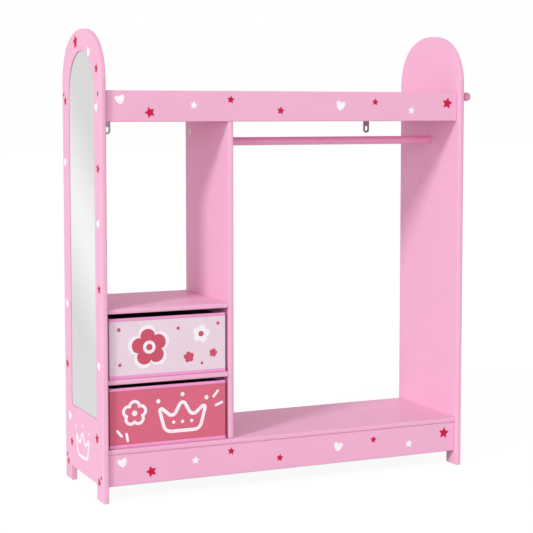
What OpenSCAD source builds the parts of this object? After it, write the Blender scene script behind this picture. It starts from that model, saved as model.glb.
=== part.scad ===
// Children's dress-up storage unit: two arched side panels, a printed rail tray on top,
// a hanging bay with a rod, a narrow bay with two fabric boxes, and a mirror let into the left side.
// X runs to the right, Y to the rear, Z up. The origin is on the floor, at the middle of the
// whole unit's footprint, the pegs on the right side included. All lengths are in millimetres.

/* [Carcass] */
// Width over the outer faces of the two side panels
unit_w = 930; // [760:1:1200]
// Depth of the side panels, front edge to rear edge
side_d = 294; // [270:1:330]
// Thickness of the side panels
side_t = 13.5; // [13:0.5:20]
// Thickness of the divider
divider_t = 13; // [12:0.5:20]
// Thickness of all four shelves
shelf_t = 12; // [12:0.5:18]
// Thickness of all four rails
rail_t = 12; // [12:0.5:18]
// Clear width of the narrow bay on the left
bay_w = 296; // [220:1:360]
// Width of the bevel that eases every board edge
ease = 2; // [0.5:0.1:2.5]

/* [Heights] */
// Floor to the underside of the base rails
rail_lift = 35.5; // [20:0.5:60]
// Height of the base rails
base_rail_h = 72.5; // [60:0.5:100]
// Clear height for the lower fabric box
lower_cubby_h = 146; // [110:0.5:180]
// Clear height for the upper fabric box
upper_cubby_h = 148.5; // [110:0.5:180]
// Clear height from the base shelf to the top shelf
hanging_bay_h = 736; // [600:1:900]
// Height of the top rails
top_rail_h = 70; // [55:0.5:90]
// Rise of the side panels' crown over the top rails
arch_rise = 141; // [110:1:180]

/* [Set-backs] */
// Front edge of the side panels back to the divider and the two box shelves
shelf_inset = 12.5; // [5:0.5:20]
// Front edge of the side panels back to the top front rail
top_rail_inset = 11.5; // [2:0.5:20]
// Front edge of the side panels back to the base shelf
base_shelf_inset = 7.5; // [2:0.5:15]
// Front edge of the side panels back to the base front rail
base_rail_inset = 9.5; // [2:0.5:15]
// Rear edge of the side panels forward to the shelves, rails and divider
rear_inset = 5.5; // [4:0.5:12]

/* [Side panel outline] */
// Radius of the middle arc of the arch
crown_r = 208; // [180:1:260]
// Radius of the two outer arcs of the arch
shoulder_r = 113.5; // [90:0.5:125]
// Depth of each foot
foot_w = 47; // [35:1:70]
// Height of the notch between the feet
notch_h = 36.5; // [20:0.5:60]
// Radius in the upper corners of the notch
notch_r = 4; // [1:0.5:10]

/* [Mirror] */
// Long edges of the side panel in to the mirror
mirror_edge = 47.5; // [46:0.5:72]
// Thickness of the mirror
mirror_t = 2; // [1.5:0.5:3]
// Floor to the mirror's lower edge
mirror_sill = 184.5; // [120:0.5:300]
// Top of the mirror to the crown of the side panel
mirror_crown_gap = 50; // [40:0.5:90]
// Depth of the mirror's face behind the panel's face
mirror_recess = 2; // [0.5:0.5:5]
// Gap all round the mirror in its recess
mirror_gap = 0.5; // [0.3:0.1:1.5]
// Thickness of the foam tape behind the mirror
tape_t = 1; // [0.5:0.25:1.5]
// Width of each strip of tape
tape_w = 25; // [10:1:40]
// Number of strips of tape
tape_count = 4; // [2:1:6]

/* [Hanging rod] */
// Diameter of the rod
rod_d = 20; // [16:1:25]
// Front edge of the side panels back to the rod's axis
rod_y = 142; // [100:1:190]
// Underside of the top shelf down to the rod's axis
rod_drop = 48; // [35:1:80]
// Depth of the sockets that hold the rod's ends
rod_socket = 8; // [4:0.5:9]
// Clearance around the rod and at its ends in the sockets
rod_gap = 0.2; // [0.1:0.05:0.4]

/* [Pegs] */
// Distance from the right panel to the tip of a peg
peg_out = 37.5; // [30:0.5:60]
// Diameter of the ball at a peg's tip
peg_ball_d = 22.5; // [18:0.5:30]
// Diameter of a peg's stem
peg_stem_d = 13; // [11:0.5:16]
// Edges of the side panel in to the outer pegs
peg_edge = 35; // [28:1:60]
// Top of the top rails down to the pegs
peg_drop = 10.5; // [6:0.5:40]
// Diameter of a peg screw
peg_screw_d = 4; // [3:0.5:5]
// Depth that a peg screw reaches into its peg
peg_screw_reach = 20; // [14:1:26]

/* [Wall brackets] */
// Width of a bracket plate
bracket_w = 17; // [14:0.5:24]
// Thickness of a bracket plate
bracket_t = 1.5; // [1:0.25:2]
// Length of a bracket below the back rail
bracket_reach = 32; // [26:0.5:45]
// Height that a bracket overlaps the back rail
bracket_grip = 27; // [22:0.5:45]
// Width of the slot for the wall screw
slot_w = 6.5; // [5:0.5:9]
// Distance between the centres of the slot's round ends
slot_run = 6.5; // [5:0.5:12]
// Outer face of the left panel to the left bracket's middle
bracket_left_inset = 108.5; // [60:0.5:200]
// Outer face of the right panel to the right bracket's middle
bracket_right_inset = 118.5; // [60:0.5:200]
// Long edges of the overlap to the bracket screws
bracket_screw_edge = 7.5; // [6:0.5:9]
// Diameter of a bracket screw
bracket_screw_d = 3.5; // [3:0.5:4]

/* [Fittings] */
// Diameter of a cam lock
cam_d = 12; // [10:0.5:14]
// Height of a cam lock
cam_h = 9.5; // [9:0.5:10]
// Board end to a cam lock's middle
cam_setback = 26.5; // [20:0.5:34]
// Front edge of the side panels to the front cam locks
cam_front = 40; // [38:0.5:42]
// Rear edge of the side panels to the rear cam locks
cam_rear = 35; // [33:0.5:42]
// Diameter of a cam bolt's thread
bolt_thread_d = 6; // [5:0.5:6.5]
// Depth of a cam bolt's thread in the panel
bolt_bite = 9; // [7:0.5:10]
// Diameter of a cam bolt's shank
bolt_shank_d = 5; // [4:0.5:5]
// Diameter of a wooden dowel
dowel_d = 6; // [5:0.5:8]
// Length of a wooden dowel
dowel_l = 24; // [20:1:30]
// Depth of a dowel in the face that it enters
dowel_bite = 8; // [6:0.5:9]
// Diameter of a rail screw's head
rail_head_d = 10; // [8:0.5:12]
// Height of a rail screw's head
rail_head_h = 3; // [2:0.5:4]
// Diameter of a rail screw's shank
rail_screw_d = 5; // [4:0.5:6]
// Depth that a rail screw reaches into its rail
rail_screw_reach = 35; // [25:1:45]
// Diameter of a screw up into the divider
divider_screw_d = 4.5; // [3.5:0.5:5]
// Depth that a screw reaches up into the divider
divider_screw_reach = 30; // [20:1:45]
// Radial clearance of screws, bolts, dowels and cams in their holes
fit_gap = 0.1; // [0.05:0.05:0.2]

/* [Fabric boxes] */
// Clear height over a box in the lower of the two cubbies
box_headroom = 8; // [4:0.5:20]
// Clear width on each side of a box
box_side_gap = 7; // [2:0.5:12]
// Front edge of the shelf back to the front of a box
box_front_set = 1.5; // [0:0.5:10]
// Rear of a box to the rear edge of the shelf
box_rear_set = 2.5; // [0:0.5:20]
// Gap between a box and the shelf that it stands on
box_rest_gap = 0.3; // [0.1:0.1:0.5]
// Thickness of the outer fabric
skin_t = 0.8; // [0.5:0.1:1.5]
// Thickness of the card in the walls
card_t = 2; // [1.5:0.5:4]
// Gap between the wall cards where they meet at the corners
card_gap = 0.3; // [0.2:0.1:0.8]
// Thickness of the lining
lining_t = 0.8; // [0.5:0.1:1.5]
// Thickness of the binding tape
binding_t = 0.8; // [0.5:0.1:1.5]
// Height of the binding round the rim
rim_binding_h = 6; // [4:0.5:12]
// Height of the binding round the base
base_binding_h = 8; // [4:0.5:14]
// Thickness of the loose floor card
floor_card_t = 2.5; // [1.5:0.5:4]
// Gap all round the loose floor card
floor_card_gap = 0.8; // [0.4:0.1:3]
// Outer corner radius of the boxes
box_corner_r = 1.5; // [1:0.25:2.5]

/* [Hidden] */

board_colour = "#f4b8d6";
rod_colour = "#e59abf";
mirror_colour = "#dcdede";
foam_colour = "#f2f2f0";
steel_colour = "#a9abad";
beech_colour = "#d9b98a";
binding_colour = "#ee9ccb";
upper_skin_colour = "#e3d0db";
lower_skin_colour = "#d5647a";
lining_colour = "#1d1a1d";
card_colour = "#b79b78";

// how far a cut runs on past the face that it opens
over = 1;
// steps in a quarter of a round outline
quarter_steps = 16;
$fn = 64;

// left and right faces
x_left = -(unit_w + peg_out) / 2;
x_left_in = x_left + side_t;
x_right = x_left + unit_w;
x_right_in = x_right - side_t;
inner_w = unit_w - 2 * side_t;
x_divider = x_left_in + bay_w;
x_hang = x_divider + divider_t;

// front and rear faces
y_front = -side_d / 2;
y_rear = side_d / 2;
y_back = y_rear - rear_inset;
y_shelf = y_front + shelf_inset;
y_top_rail = y_front + top_rail_inset;
y_base_shelf = y_front + base_shelf_inset;
y_base_rail = y_front + base_rail_inset;
shelf_d = y_back - y_shelf;
cam_ys = [y_front + cam_front, y_rear - cam_rear];

// undersides, from the floor up
z_base_rail = rail_lift;
z_base = z_base_rail + base_rail_h;
z_base_top = z_base + shelf_t;
z_box_shelf = z_base_top + lower_cubby_h;
z_box_shelf_top = z_box_shelf + shelf_t;
z_middle = z_box_shelf_top + upper_cubby_h;
z_top = z_base_top + hanging_bay_h;
z_rail_top = z_top + top_rail_h;
unit_h = z_rail_top + arch_rise;

// arch of three arcs over the depth of a side panel
crown_z = unit_h - crown_r;
shoulder_rise = sqrt(pow(crown_r - shoulder_r, 2) - pow(side_d / 2 - shoulder_r, 2));
shoulder_z = crown_z + shoulder_rise;
shoulder_y = side_d / 2 - shoulder_r;
turn = atan2(shoulder_rise, shoulder_y);

// mirror and its recess; the mirror's top is a half circle of its width
mirror_w = side_d - 2 * mirror_edge;
mirror_top = unit_h - mirror_crown_gap;
pocket_depth = mirror_recess + mirror_t + tape_t;
mirror_x = x_left + mirror_recess;
tape_span = mirror_w - 2 * tape_w;
tape_pitch = (mirror_top - mirror_w / 2 - mirror_sill - tape_w) / (tape_count - 1);

// rod, pegs and brackets
rod_place = [x_hang - rod_socket + rod_gap, y_front + rod_y, z_top - rod_drop];
rod_l = x_right_in - x_hang + 2 * (rod_socket - rod_gap);
peg_ys = [y_front + peg_edge, 0, y_rear - peg_edge];
peg_z = z_rail_top - peg_drop;
peg_flare = 1.5;
peg_flare_l = 4;
bracket_xs = [x_left + bracket_left_inset, x_right - bracket_right_inset];
bracket_low = z_top - bracket_reach;
bracket_screw_zs = [z_top + bracket_screw_edge, z_top + bracket_grip - bracket_screw_edge];
bracket_screw_l = rail_t - 2;
bracket_head_h = 2;

// screws and dowels at the rail ends, measured from each rail's outer long edge
screw_from_top_edge = 8;
dowel_from_low_edge = 16;
screw_from_base_edge = 21.5;
dowel_from_base_top = 20;
top_rail_screw_z = z_rail_top - screw_from_top_edge;
top_rail_dowel_z = z_top + dowel_from_low_edge;
base_rail_screw_z = z_base_rail + screw_from_base_edge;
base_rail_dowel_z = z_base - dowel_from_base_top;
top_rail_ys = [y_top_rail + rail_t / 2, y_back - rail_t / 2];
base_rail_ys = [y_base_rail + rail_t / 2, y_back - rail_t / 2];
dowel_xs = [for (share = [1, 3, 5]) x_left_in + inner_w * share / 6];
divider_screw_from_edge = 50;
divider_screw_ys = [y_shelf + divider_screw_from_edge, y_back - divider_screw_from_edge];

// details of the fittings: screwdriver crosses are [depth both ways, width, length]
cam_cross = [3, 1.2, 6.5];
cam_channel_d = bolt_shank_d + 4 * fit_gap;
cam_channel_end = 3;
bolt_neck_d = 3;
bolt_neck_l = 4;
rail_key_d = 4;
rail_key_depth = 2;
csk_spread = 2;
cross_width = 0.9;
cross_depth = 1.2;

// fabric boxes
box_w = bay_w - 2 * box_side_gap;
box_d = shelf_d - box_front_set - box_rear_set;
box_h = min(lower_cubby_h, upper_cubby_h) - box_headroom - box_rest_gap;
skin_w = box_w - 2 * binding_t;
skin_d = box_d - 2 * binding_t;
wall_h = box_h - binding_t;
card_w = skin_w - 2 * skin_t;
card_d = skin_d - 2 * skin_t;
lining_w = card_w - 2 * card_t;
lining_d = card_d - 2 * card_t;
room_w = lining_w - 2 * lining_t;
room_d = lining_d - 2 * lining_t;
box_x = x_left_in + bay_w / 2;
box_y = y_shelf + box_front_set + box_d / 2;
z_upper_box = z_box_shelf_top + box_rest_gap;
z_lower_box = z_base_top + box_rest_gap;

// ---- shared shapes ----

// points along an arc, from angle a to angle b
function arc(cx, cy, r, a, b, steps) =
    [for (i = [0 : steps]) let (t = a + (b - a) * i / steps) [cx + r * cos(t), cy + r * sin(t)]];

// outline of a side panel, (Y, Z), drawn smaller by the given inset
function panel_outline(inset) = concat(
    [[y_front + inset, inset], [y_rear - inset, inset]],
    arc(shoulder_y, shoulder_z, shoulder_r - inset, 0, turn, quarter_steps),
    arc(0, crown_z, crown_r - inset, turn, 180 - turn, 2 * quarter_steps),
    arc(-shoulder_y, shoulder_z, shoulder_r - inset, 180 - turn, 180, quarter_steps)
);

// rectangle with round corners, centred
module round_rect(w, d, r) {
    polygon(concat(
        arc(w / 2 - r, d / 2 - r, r, 0, 90, quarter_steps / 4),
        arc(r - w / 2, d / 2 - r, r, 90, 180, quarter_steps / 4),
        arc(r - w / 2, r - d / 2, r, 180, 270, quarter_steps / 4),
        arc(w / 2 - r, r - d / 2, r, 270, 360, quarter_steps / 4)
    ));
}

// stands a (Y, Z) outline up as a plate from x to x + t
module plate(x, t) {
    translate([x, 0, 0]) rotate([90, 0, 90]) linear_extrude(t) children();
}

// rectangular board with all its edges eased by a bevel
module board(from, size) {
    translate(from + size / 2) hull() {
        cube([size.x, size.y - 2 * ease, size.z - 2 * ease], center = true);
        cube([size.x - 2 * ease, size.y, size.z - 2 * ease], center = true);
        cube([size.x - 2 * ease, size.y - 2 * ease, size.z], center = true);
    }
}

// round hole or pin along Z, between two heights
module rod_between(d, low, high) {
    translate([0, 0, low]) cylinder(d = d, h = high - low);
}

// ---- places of the fittings ----

// a shelf end against a panel face: Z runs into the shelf, X points to its underside
module shelf_end(face_x, side, z) {
    for (y = cam_ys)
        translate([face_x, y, z + shelf_t / 2])
            mirror([side < 0 ? 1 : 0, 0, 0])
                rotate([0, 90, 0]) children();
}

// the divider's top end against the top shelf: Z runs down, X points to the left face
module divider_top() {
    for (y = cam_ys)
        translate([x_divider + divider_t / 2, y, z_top])
            rotate([0, 180, 0]) children();
}

// the ends of a pair of rails at one side: Z runs from the panel's inner face into the rail
module rail_ends(face_x, side, ys, z) {
    for (y = ys)
        translate([face_x, y, z])
            rotate([0, 90 * side, 0]) children();
}

// dowels between the long edges of the top shelf and the two top rails
module tray_dowels(rear) {
    y = rear ? y_back - rail_t : y_top_rail + rail_t;
    for (x = dowel_xs)
        translate([x, y, z_top + shelf_t / 2])
            rotate([rear ? 90 : -90, 0, 0]) children();
}

// dowels between the base shelf and the rails under it
module base_dowels(y) {
    for (x = dowel_xs) translate([x, y, z_base]) rotate([180, 0, 0]) children();
}

// ---- fittings, drawn round the frames above ----

module cam_lock(t) {
    difference() {
        translate([t / 2 - cam_h, 0, cam_setback]) rotate([0, 90, 0]) cylinder(d = cam_d, h = cam_h);
        rod_between(cam_channel_d, cam_setback - cam_d, cam_setback + cam_channel_end);
        for (a = [0, 90])
            translate([t / 2, 0, cam_setback]) rotate([a, 0, 0]) cube(cam_cross, center = true);
    }
}

module cam_bolt() {
    rod_between(bolt_thread_d, -bolt_bite, 0);
    rod_between(bolt_shank_d, -over, cam_setback - bolt_neck_l);
    rod_between(bolt_neck_d, cam_setback - bolt_neck_l - over, cam_setback);
    translate([0, 0, cam_setback]) sphere(d = bolt_shank_d);
}

// cut for a cam lock and its bolt in the board that the cam sits in
module cam_seat(t) {
    translate([t / 2 - cam_h - fit_gap, 0, cam_setback]) rotate([0, 90, 0])
        cylinder(d = cam_d + 2 * fit_gap, h = cam_h + fit_gap + over);
    rod_between(cam_channel_d, -over, cam_setback);
}

// cut for a cam bolt in the panel that it bites
module bolt_seat() {
    rod_between(bolt_thread_d + 2 * fit_gap, -bolt_bite - fit_gap, over);
}

module dowel() {
    rod_between(dowel_d, -dowel_bite, dowel_l - dowel_bite);
}

// cut for a dowel, on both sides of the joint
module dowel_seat() {
    rod_between(dowel_d + 2 * fit_gap, -dowel_bite - 2 * fit_gap, dowel_l - dowel_bite + 2 * fit_gap);
}

module rail_screw() {
    difference() {
        rod_between(rail_head_d, -side_t, rail_head_h - side_t);
        key_socket(rail_key_d, -side_t - over, rail_key_depth - side_t);
    }
    rod_between(rail_screw_d, rail_head_h - side_t, rail_screw_reach);
}

// six-sided key socket along Z
module key_socket(d, low, high) {
    translate([0, 0, low]) cylinder(d = d, h = high - low, $fn = 6);
}

module rail_screw_seat() {
    rod_between(rail_head_d + 2 * fit_gap, -side_t - over, rail_head_h - side_t);
    rod_between(rail_screw_d + 2 * fit_gap, -side_t, rail_screw_reach + fit_gap);
}

// height of a countersunk head whose side slopes at 45 degrees
function csk_head(d) = (csk_spread - 1) * d / 2;

// screw with a countersunk head: the head's face is at z = 0 and the shank runs up
module csk_screw(d, l) {
    difference() {
        union() {
            cylinder(d1 = csk_spread * d, d2 = d, h = csk_head(d));
            cylinder(d = d, h = l);
        }
        for (a = [0, 90]) rotate([0, 0, a]) cube([d, cross_width, 2 * cross_depth], center = true);
    }
}

// cut for a countersunk screw, its head's face included
module csk_seat(d, l) {
    rod_between(csk_spread * d + 2 * fit_gap, -over, 0);
    cylinder(d1 = csk_spread * d + 2 * fit_gap, d2 = d + 2 * fit_gap, h = csk_head(d));
    rod_between(d + 2 * fit_gap, 0, l + fit_gap);
}

// ---- places of the plain screws ----

module divider_screws() {
    for (y = divider_screw_ys) translate([x_divider + divider_t / 2, y, z_base]) children();
}

module peg_places(ys) {
    for (y = ys) translate([x_right_in, y, peg_z]) rotate([0, 90, 0]) children();
}

module bracket_screw_places() {
    for (x = bracket_xs, z = bracket_screw_zs)
        translate([x, y_back + bracket_t, z]) rotate([90, 0, 0]) children();
}

// ---- boards ----

module side_panel(x) {
    difference() {
        hull() {
            plate(x, side_t) polygon(panel_outline(ease));
            plate(x + ease, side_t - 2 * ease) polygon(panel_outline(0));
        }
        plate(x - over, side_t + 2 * over) foot_notch();
    }
}

module foot_notch() {
    polygon(concat(
        [[y_front + foot_w, -over], [y_rear - foot_w, -over]],
        arc(y_rear - foot_w - notch_r, notch_h - notch_r, notch_r, 0, 90, quarter_steps / 2),
        arc(y_front + foot_w + notch_r, notch_h - notch_r, notch_r, 90, 180, quarter_steps / 2)
    ));
}

module rail_end_cuts(face_x, side) {
    rail_ends(face_x, side, top_rail_ys, top_rail_screw_z) rail_screw_seat();
    rail_ends(face_x, side, top_rail_ys, top_rail_dowel_z) dowel_seat();
    rail_ends(face_x, side, base_rail_ys, base_rail_screw_z) rail_screw_seat();
    rail_ends(face_x, side, base_rail_ys, base_rail_dowel_z) dowel_seat();
}

module mirror_shape(grow) {
    polygon(concat(
        [[-mirror_w / 2 - grow, mirror_sill - grow], [mirror_w / 2 + grow, mirror_sill - grow]],
        arc(0, mirror_top - mirror_w / 2, mirror_w / 2 + grow, 0, 180, 3 * quarter_steps)
    ));
}

module side_panel_left() {
    color(board_colour) difference() {
        side_panel(x_left);
        plate(x_left - over, pocket_depth + over) mirror_shape(mirror_gap);
        rail_end_cuts(x_left_in, 1);
        for (z = [z_base, z_box_shelf, z_middle, z_top]) shelf_end(x_left_in, 1, z) bolt_seat();
    }
}

module side_panel_right() {
    color(board_colour) difference() {
        side_panel(x_right_in);
        rail_end_cuts(x_right_in, -1);
        for (z = [z_base, z_top]) shelf_end(x_right_in, -1, z) bolt_seat();
        rod_socket_cut();
        peg_places(peg_ys) csk_seat(peg_screw_d, side_t + over);
    }
}

module rod_socket_cut() {
    translate([x_hang - rod_socket, rod_place.y, rod_place.z]) rotate([0, 90, 0])
        cylinder(d = rod_d + 2 * rod_gap, h = x_right_in - x_hang + 2 * rod_socket);
}

module divider_panel() {
    color(board_colour) difference() {
        board([x_divider, y_shelf, z_base_top], [divider_t, shelf_d, hanging_bay_h]);
        divider_top() cam_seat(divider_t);
        divider_screws() csk_seat(divider_screw_d, shelf_t + divider_screw_reach);
        for (z = [z_box_shelf, z_middle]) shelf_end(x_divider, -1, z) bolt_seat();
        rod_socket_cut();
    }
}

module top_shelf() {
    y = y_top_rail + rail_t;
    color(board_colour) difference() {
        board([x_left_in, y, z_top], [inner_w, y_back - rail_t - y, shelf_t]);
        shelf_end(x_left_in, 1, z_top) cam_seat(shelf_t);
        shelf_end(x_right_in, -1, z_top) cam_seat(shelf_t);
        divider_top() bolt_seat();
        tray_dowels(false) dowel_seat();
        tray_dowels(true) dowel_seat();
    }
}

module bay_shelf(z) {
    difference() {
        board([x_left_in, y_shelf, z], [bay_w, shelf_d, shelf_t]);
        shelf_end(x_left_in, 1, z) cam_seat(shelf_t);
        shelf_end(x_divider, -1, z) cam_seat(shelf_t);
    }
}

module middle_shelf() {
    color(board_colour) bay_shelf(z_middle);
}

module box_shelf() {
    color(board_colour) bay_shelf(z_box_shelf);
}

module base_shelf() {
    color(board_colour) difference() {
        board([x_left_in, y_base_shelf, z_base], [inner_w, y_back - y_base_shelf, shelf_t]);
        shelf_end(x_left_in, 1, z_base) cam_seat(shelf_t);
        shelf_end(x_right_in, -1, z_base) cam_seat(shelf_t);
        divider_screws() csk_seat(divider_screw_d, shelf_t + divider_screw_reach);
        for (y = base_rail_ys) base_dowels(y) dowel_seat();
    }
}

module rail(y, z, h) {
    board([x_left_in, y, z], [inner_w, rail_t, h]);
}

module top_rail_cuts(y) {
    for (side = [1, -1]) {
        face = side > 0 ? x_left_in : x_right_in;
        rail_ends(face, side, [y], top_rail_screw_z) rail_screw_seat();
        rail_ends(face, side, [y], top_rail_dowel_z) dowel_seat();
    }
}

module base_rail_cuts(y) {
    for (side = [1, -1]) {
        face = side > 0 ? x_left_in : x_right_in;
        rail_ends(face, side, [y], base_rail_screw_z) rail_screw_seat();
        rail_ends(face, side, [y], base_rail_dowel_z) dowel_seat();
    }
    base_dowels(y) dowel_seat();
}

module top_front_rail() {
    color(board_colour) difference() {
        rail(y_top_rail, z_top, top_rail_h);
        top_rail_cuts(top_rail_ys[0]);
        tray_dowels(false) dowel_seat();
    }
}

module top_back_rail() {
    color(board_colour) difference() {
        rail(y_back - rail_t, z_top, top_rail_h);
        top_rail_cuts(top_rail_ys[1]);
        tray_dowels(true) dowel_seat();
        bracket_screw_places()
            rod_between(bracket_screw_d + 2 * fit_gap, -over, bracket_screw_l + fit_gap);
    }
}

module base_front_rail() {
    color(board_colour) difference() {
        rail(y_base_rail, z_base_rail, base_rail_h);
        base_rail_cuts(base_rail_ys[0]);
    }
}

module base_back_rail() {
    color(board_colour) difference() {
        rail(y_back - rail_t, z_base_rail, base_rail_h);
        base_rail_cuts(base_rail_ys[1]);
    }
}

// ---- rod, mirror, pegs, brackets ----

module hanging_rod() {
    color(rod_colour) translate(rod_place) rotate([0, 90, 0]) cylinder(d = rod_d, h = rod_l);
}

module mirror_sheet() {
    color(mirror_colour) plate(mirror_x, mirror_t) mirror_shape(0);
}

module mirror_tape() {
    color(foam_colour)
        for (i = [0 : tape_count - 1])
            translate([mirror_x + mirror_t, -tape_span / 2, mirror_sill + i * tape_pitch])
                cube([tape_t, tape_span, tape_w]);
}

// half outline of a peg's stem, (radius, length), from the panel to the middle of the ball
peg_stem_outline = [
    [0, 0], [peg_stem_d / 2 + peg_flare, 0], [peg_stem_d / 2, peg_flare_l],
    [peg_stem_d / 2, peg_out - peg_ball_d / 2], [0, peg_out - peg_ball_d / 2]
];

module peg(i) {
    color(rod_colour) translate([x_right, peg_ys[i], peg_z]) rotate([0, 90, 0]) difference() {
        union() {
            rotate_extrude() polygon(peg_stem_outline);
            translate([0, 0, peg_out - peg_ball_d / 2]) sphere(d = peg_ball_d);
        }
        rod_between(peg_screw_d + 2 * fit_gap, -over, peg_screw_reach + fit_gap);
    }
}

module peg_front() {
    peg(0);
}

module peg_middle() {
    peg(1);
}

module peg_rear() {
    peg(2);
}

module peg_screws() {
    color(steel_colour) peg_places(peg_ys) csk_screw(peg_screw_d, side_t + peg_screw_reach);
}

module wall_bracket(x) {
    r = bracket_w / 2;
    color(steel_colour) difference() {
        translate([x, y_back, 0]) rotate([90, 0, 0]) translate([0, 0, -bracket_t])
            linear_extrude(bracket_t) difference() {
                polygon(concat(
                    arc(0, bracket_low + r, r, 180, 360, 2 * quarter_steps),
                    [[r, z_top + bracket_grip], [-r, z_top + bracket_grip]]
                ));
                polygon(concat(
                    arc(0, bracket_low + r, slot_w / 2, 180, 360, quarter_steps),
                    arc(0, bracket_low + r + slot_run, slot_w / 2, 0, 180, quarter_steps)
                ));
            }
        bracket_screw_places() rod_between(bracket_screw_d + 2 * fit_gap, -over, bracket_t + over);
    }
}

module wall_bracket_left() {
    wall_bracket(bracket_xs[0]);
}

module wall_bracket_right() {
    wall_bracket(bracket_xs[1]);
}

module bracket_screws() {
    color(steel_colour) bracket_screw_places() {
        rod_between(csk_spread * bracket_screw_d, -bracket_head_h, 0);
        rod_between(bracket_screw_d, -over, bracket_screw_l);
    }
}

// ---- groups of like fittings ----

module rail_screws(face_x, side) {
    color(steel_colour) {
        rail_ends(face_x, side, top_rail_ys, top_rail_screw_z) rail_screw();
        rail_ends(face_x, side, base_rail_ys, base_rail_screw_z) rail_screw();
    }
}

module rail_screws_left() {
    rail_screws(x_left_in, 1);
}

module rail_screws_right() {
    rail_screws(x_right_in, -1);
}

// every shelf end that cam locks draw against a panel
module all_shelf_ends() {
    for (z = [z_base, z_box_shelf, z_middle, z_top]) shelf_end(x_left_in, 1, z) children();
    for (z = [z_box_shelf, z_middle]) shelf_end(x_divider, -1, z) children();
    for (z = [z_base, z_top]) shelf_end(x_right_in, -1, z) children();
}

module cam_locks() {
    color(steel_colour) {
        all_shelf_ends() cam_lock(shelf_t);
        divider_top() cam_lock(divider_t);
    }
}

module cam_bolts() {
    color(steel_colour) {
        all_shelf_ends() cam_bolt();
        divider_top() cam_bolt();
    }
}

module wooden_dowels() {
    color(beech_colour) {
        for (side = [1, -1]) {
            face = side > 0 ? x_left_in : x_right_in;
            rail_ends(face, side, top_rail_ys, top_rail_dowel_z) dowel();
            rail_ends(face, side, base_rail_ys, base_rail_dowel_z) dowel();
        }
        tray_dowels(false) dowel();
        tray_dowels(true) dowel();
        for (y = base_rail_ys) base_dowels(y) dowel();
    }
}

module divider_base_screws() {
    color(steel_colour) divider_screws() csk_screw(divider_screw_d, shelf_t + divider_screw_reach);
}

// ---- fabric boxes, drawn with their base at z = 0 and centred ----

module block(w, d, low, high) {
    translate([-w / 2, -d / 2, low]) cube([w, d, high - low]);
}

module box_at(z) {
    translate([box_x, box_y, z]) children();
}

module skin() {
    difference() {
        linear_extrude(wall_h) round_rect(skin_w, skin_d, box_corner_r);
        block(card_w, card_d, skin_t, wall_h + over);
    }
}

module wall_cards() {
    for (side = [1, -1]) {
        translate([0, side * (card_d - card_t) / 2, 0]) block(card_w, card_t, skin_t, wall_h);
        translate([side * (card_w - card_t) / 2, 0, 0])
            block(card_t, lining_d - 2 * card_gap, skin_t, wall_h);
    }
}

module lining() {
    difference() {
        block(lining_w, lining_d, skin_t, wall_h);
        block(room_w, room_d, skin_t + lining_t, wall_h + over);
    }
}

module floor_card() {
    low = skin_t + lining_t;
    block(room_w - 2 * floor_card_gap, room_d - 2 * floor_card_gap, low, low + floor_card_t);
}

// folded tape over the rim: a leg outside, a leg inside and a cap on top
module rim_binding() {
    difference() {
        translate([0, 0, wall_h - rim_binding_h])
            linear_extrude(rim_binding_h + binding_t) round_rect(box_w, box_d, box_corner_r);
        block(room_w - 2 * binding_t, room_d - 2 * binding_t, 0, box_h + over);
        difference() {
            linear_extrude(wall_h) round_rect(skin_w, skin_d, box_corner_r);
            block(room_w, room_d, -over, wall_h + over);
        }
    }
}

module base_binding() {
    linear_extrude(base_binding_h) difference() {
        round_rect(box_w, box_d, box_corner_r);
        round_rect(skin_w, skin_d, box_corner_r);
    }
}

module box_upper_skin() {
    color(upper_skin_colour) box_at(z_upper_box) skin();
}

module box_upper_wall_cards() {
    color(card_colour) box_at(z_upper_box) wall_cards();
}

module box_upper_lining() {
    color(lining_colour) box_at(z_upper_box) lining();
}

module box_upper_floor_card() {
    color(lining_colour) box_at(z_upper_box) floor_card();
}

module box_upper_rim_binding() {
    color(binding_colour) box_at(z_upper_box) rim_binding();
}

module box_upper_base_binding() {
    color(binding_colour) box_at(z_upper_box) base_binding();
}

module box_lower_skin() {
    color(lower_skin_colour) box_at(z_lower_box) skin();
}

module box_lower_wall_cards() {
    color(card_colour) box_at(z_lower_box) wall_cards();
}

module box_lower_lining() {
    color(lining_colour) box_at(z_lower_box) lining();
}

module box_lower_floor_card() {
    color(lining_colour) box_at(z_lower_box) floor_card();
}

module box_lower_rim_binding() {
    color(binding_colour) box_at(z_lower_box) rim_binding();
}

module box_lower_base_binding() {
    color(binding_colour) box_at(z_lower_box) base_binding();
}

side_panel_left();
side_panel_right();
divider_panel();
top_shelf();
middle_shelf();
box_shelf();
base_shelf();
top_front_rail();
top_back_rail();
base_front_rail();
base_back_rail();
hanging_rod();
mirror_sheet();
mirror_tape();
peg_front();
peg_middle();
peg_rear();
peg_screws();
wall_bracket_left();
wall_bracket_right();
bracket_screws();
rail_screws_left();
rail_screws_right();
cam_locks();
cam_bolts();
wooden_dowels();
divider_base_screws();
box_upper_skin();
box_upper_wall_cards();
box_upper_lining();
box_upper_floor_card();
box_upper_rim_binding();
box_upper_base_binding();
box_lower_skin();
box_lower_wall_cards();
box_lower_lining();
box_lower_floor_card();
box_lower_rim_binding();
box_lower_base_binding();
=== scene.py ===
"""Looks of a children's dress-up storage unit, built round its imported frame.

The boards, the turned pieces and the fittings are the frame's own meshes, and get their finish
here. The fabric boxes, the mirror and the prints are built here as meshes of their own. Lengths
are in metres, and a length written in millimetres is multiplied by MM.
"""

import logging
import math
from collections.abc import Callable, Iterable, Sequence
from dataclasses import dataclass, field
from enum import Enum
from functools import lru_cache
from typing import ClassVar

import bpy
from bpy.types import Material, Node, NodeSocket, NodeTree, Object
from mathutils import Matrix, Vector, noise


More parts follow.
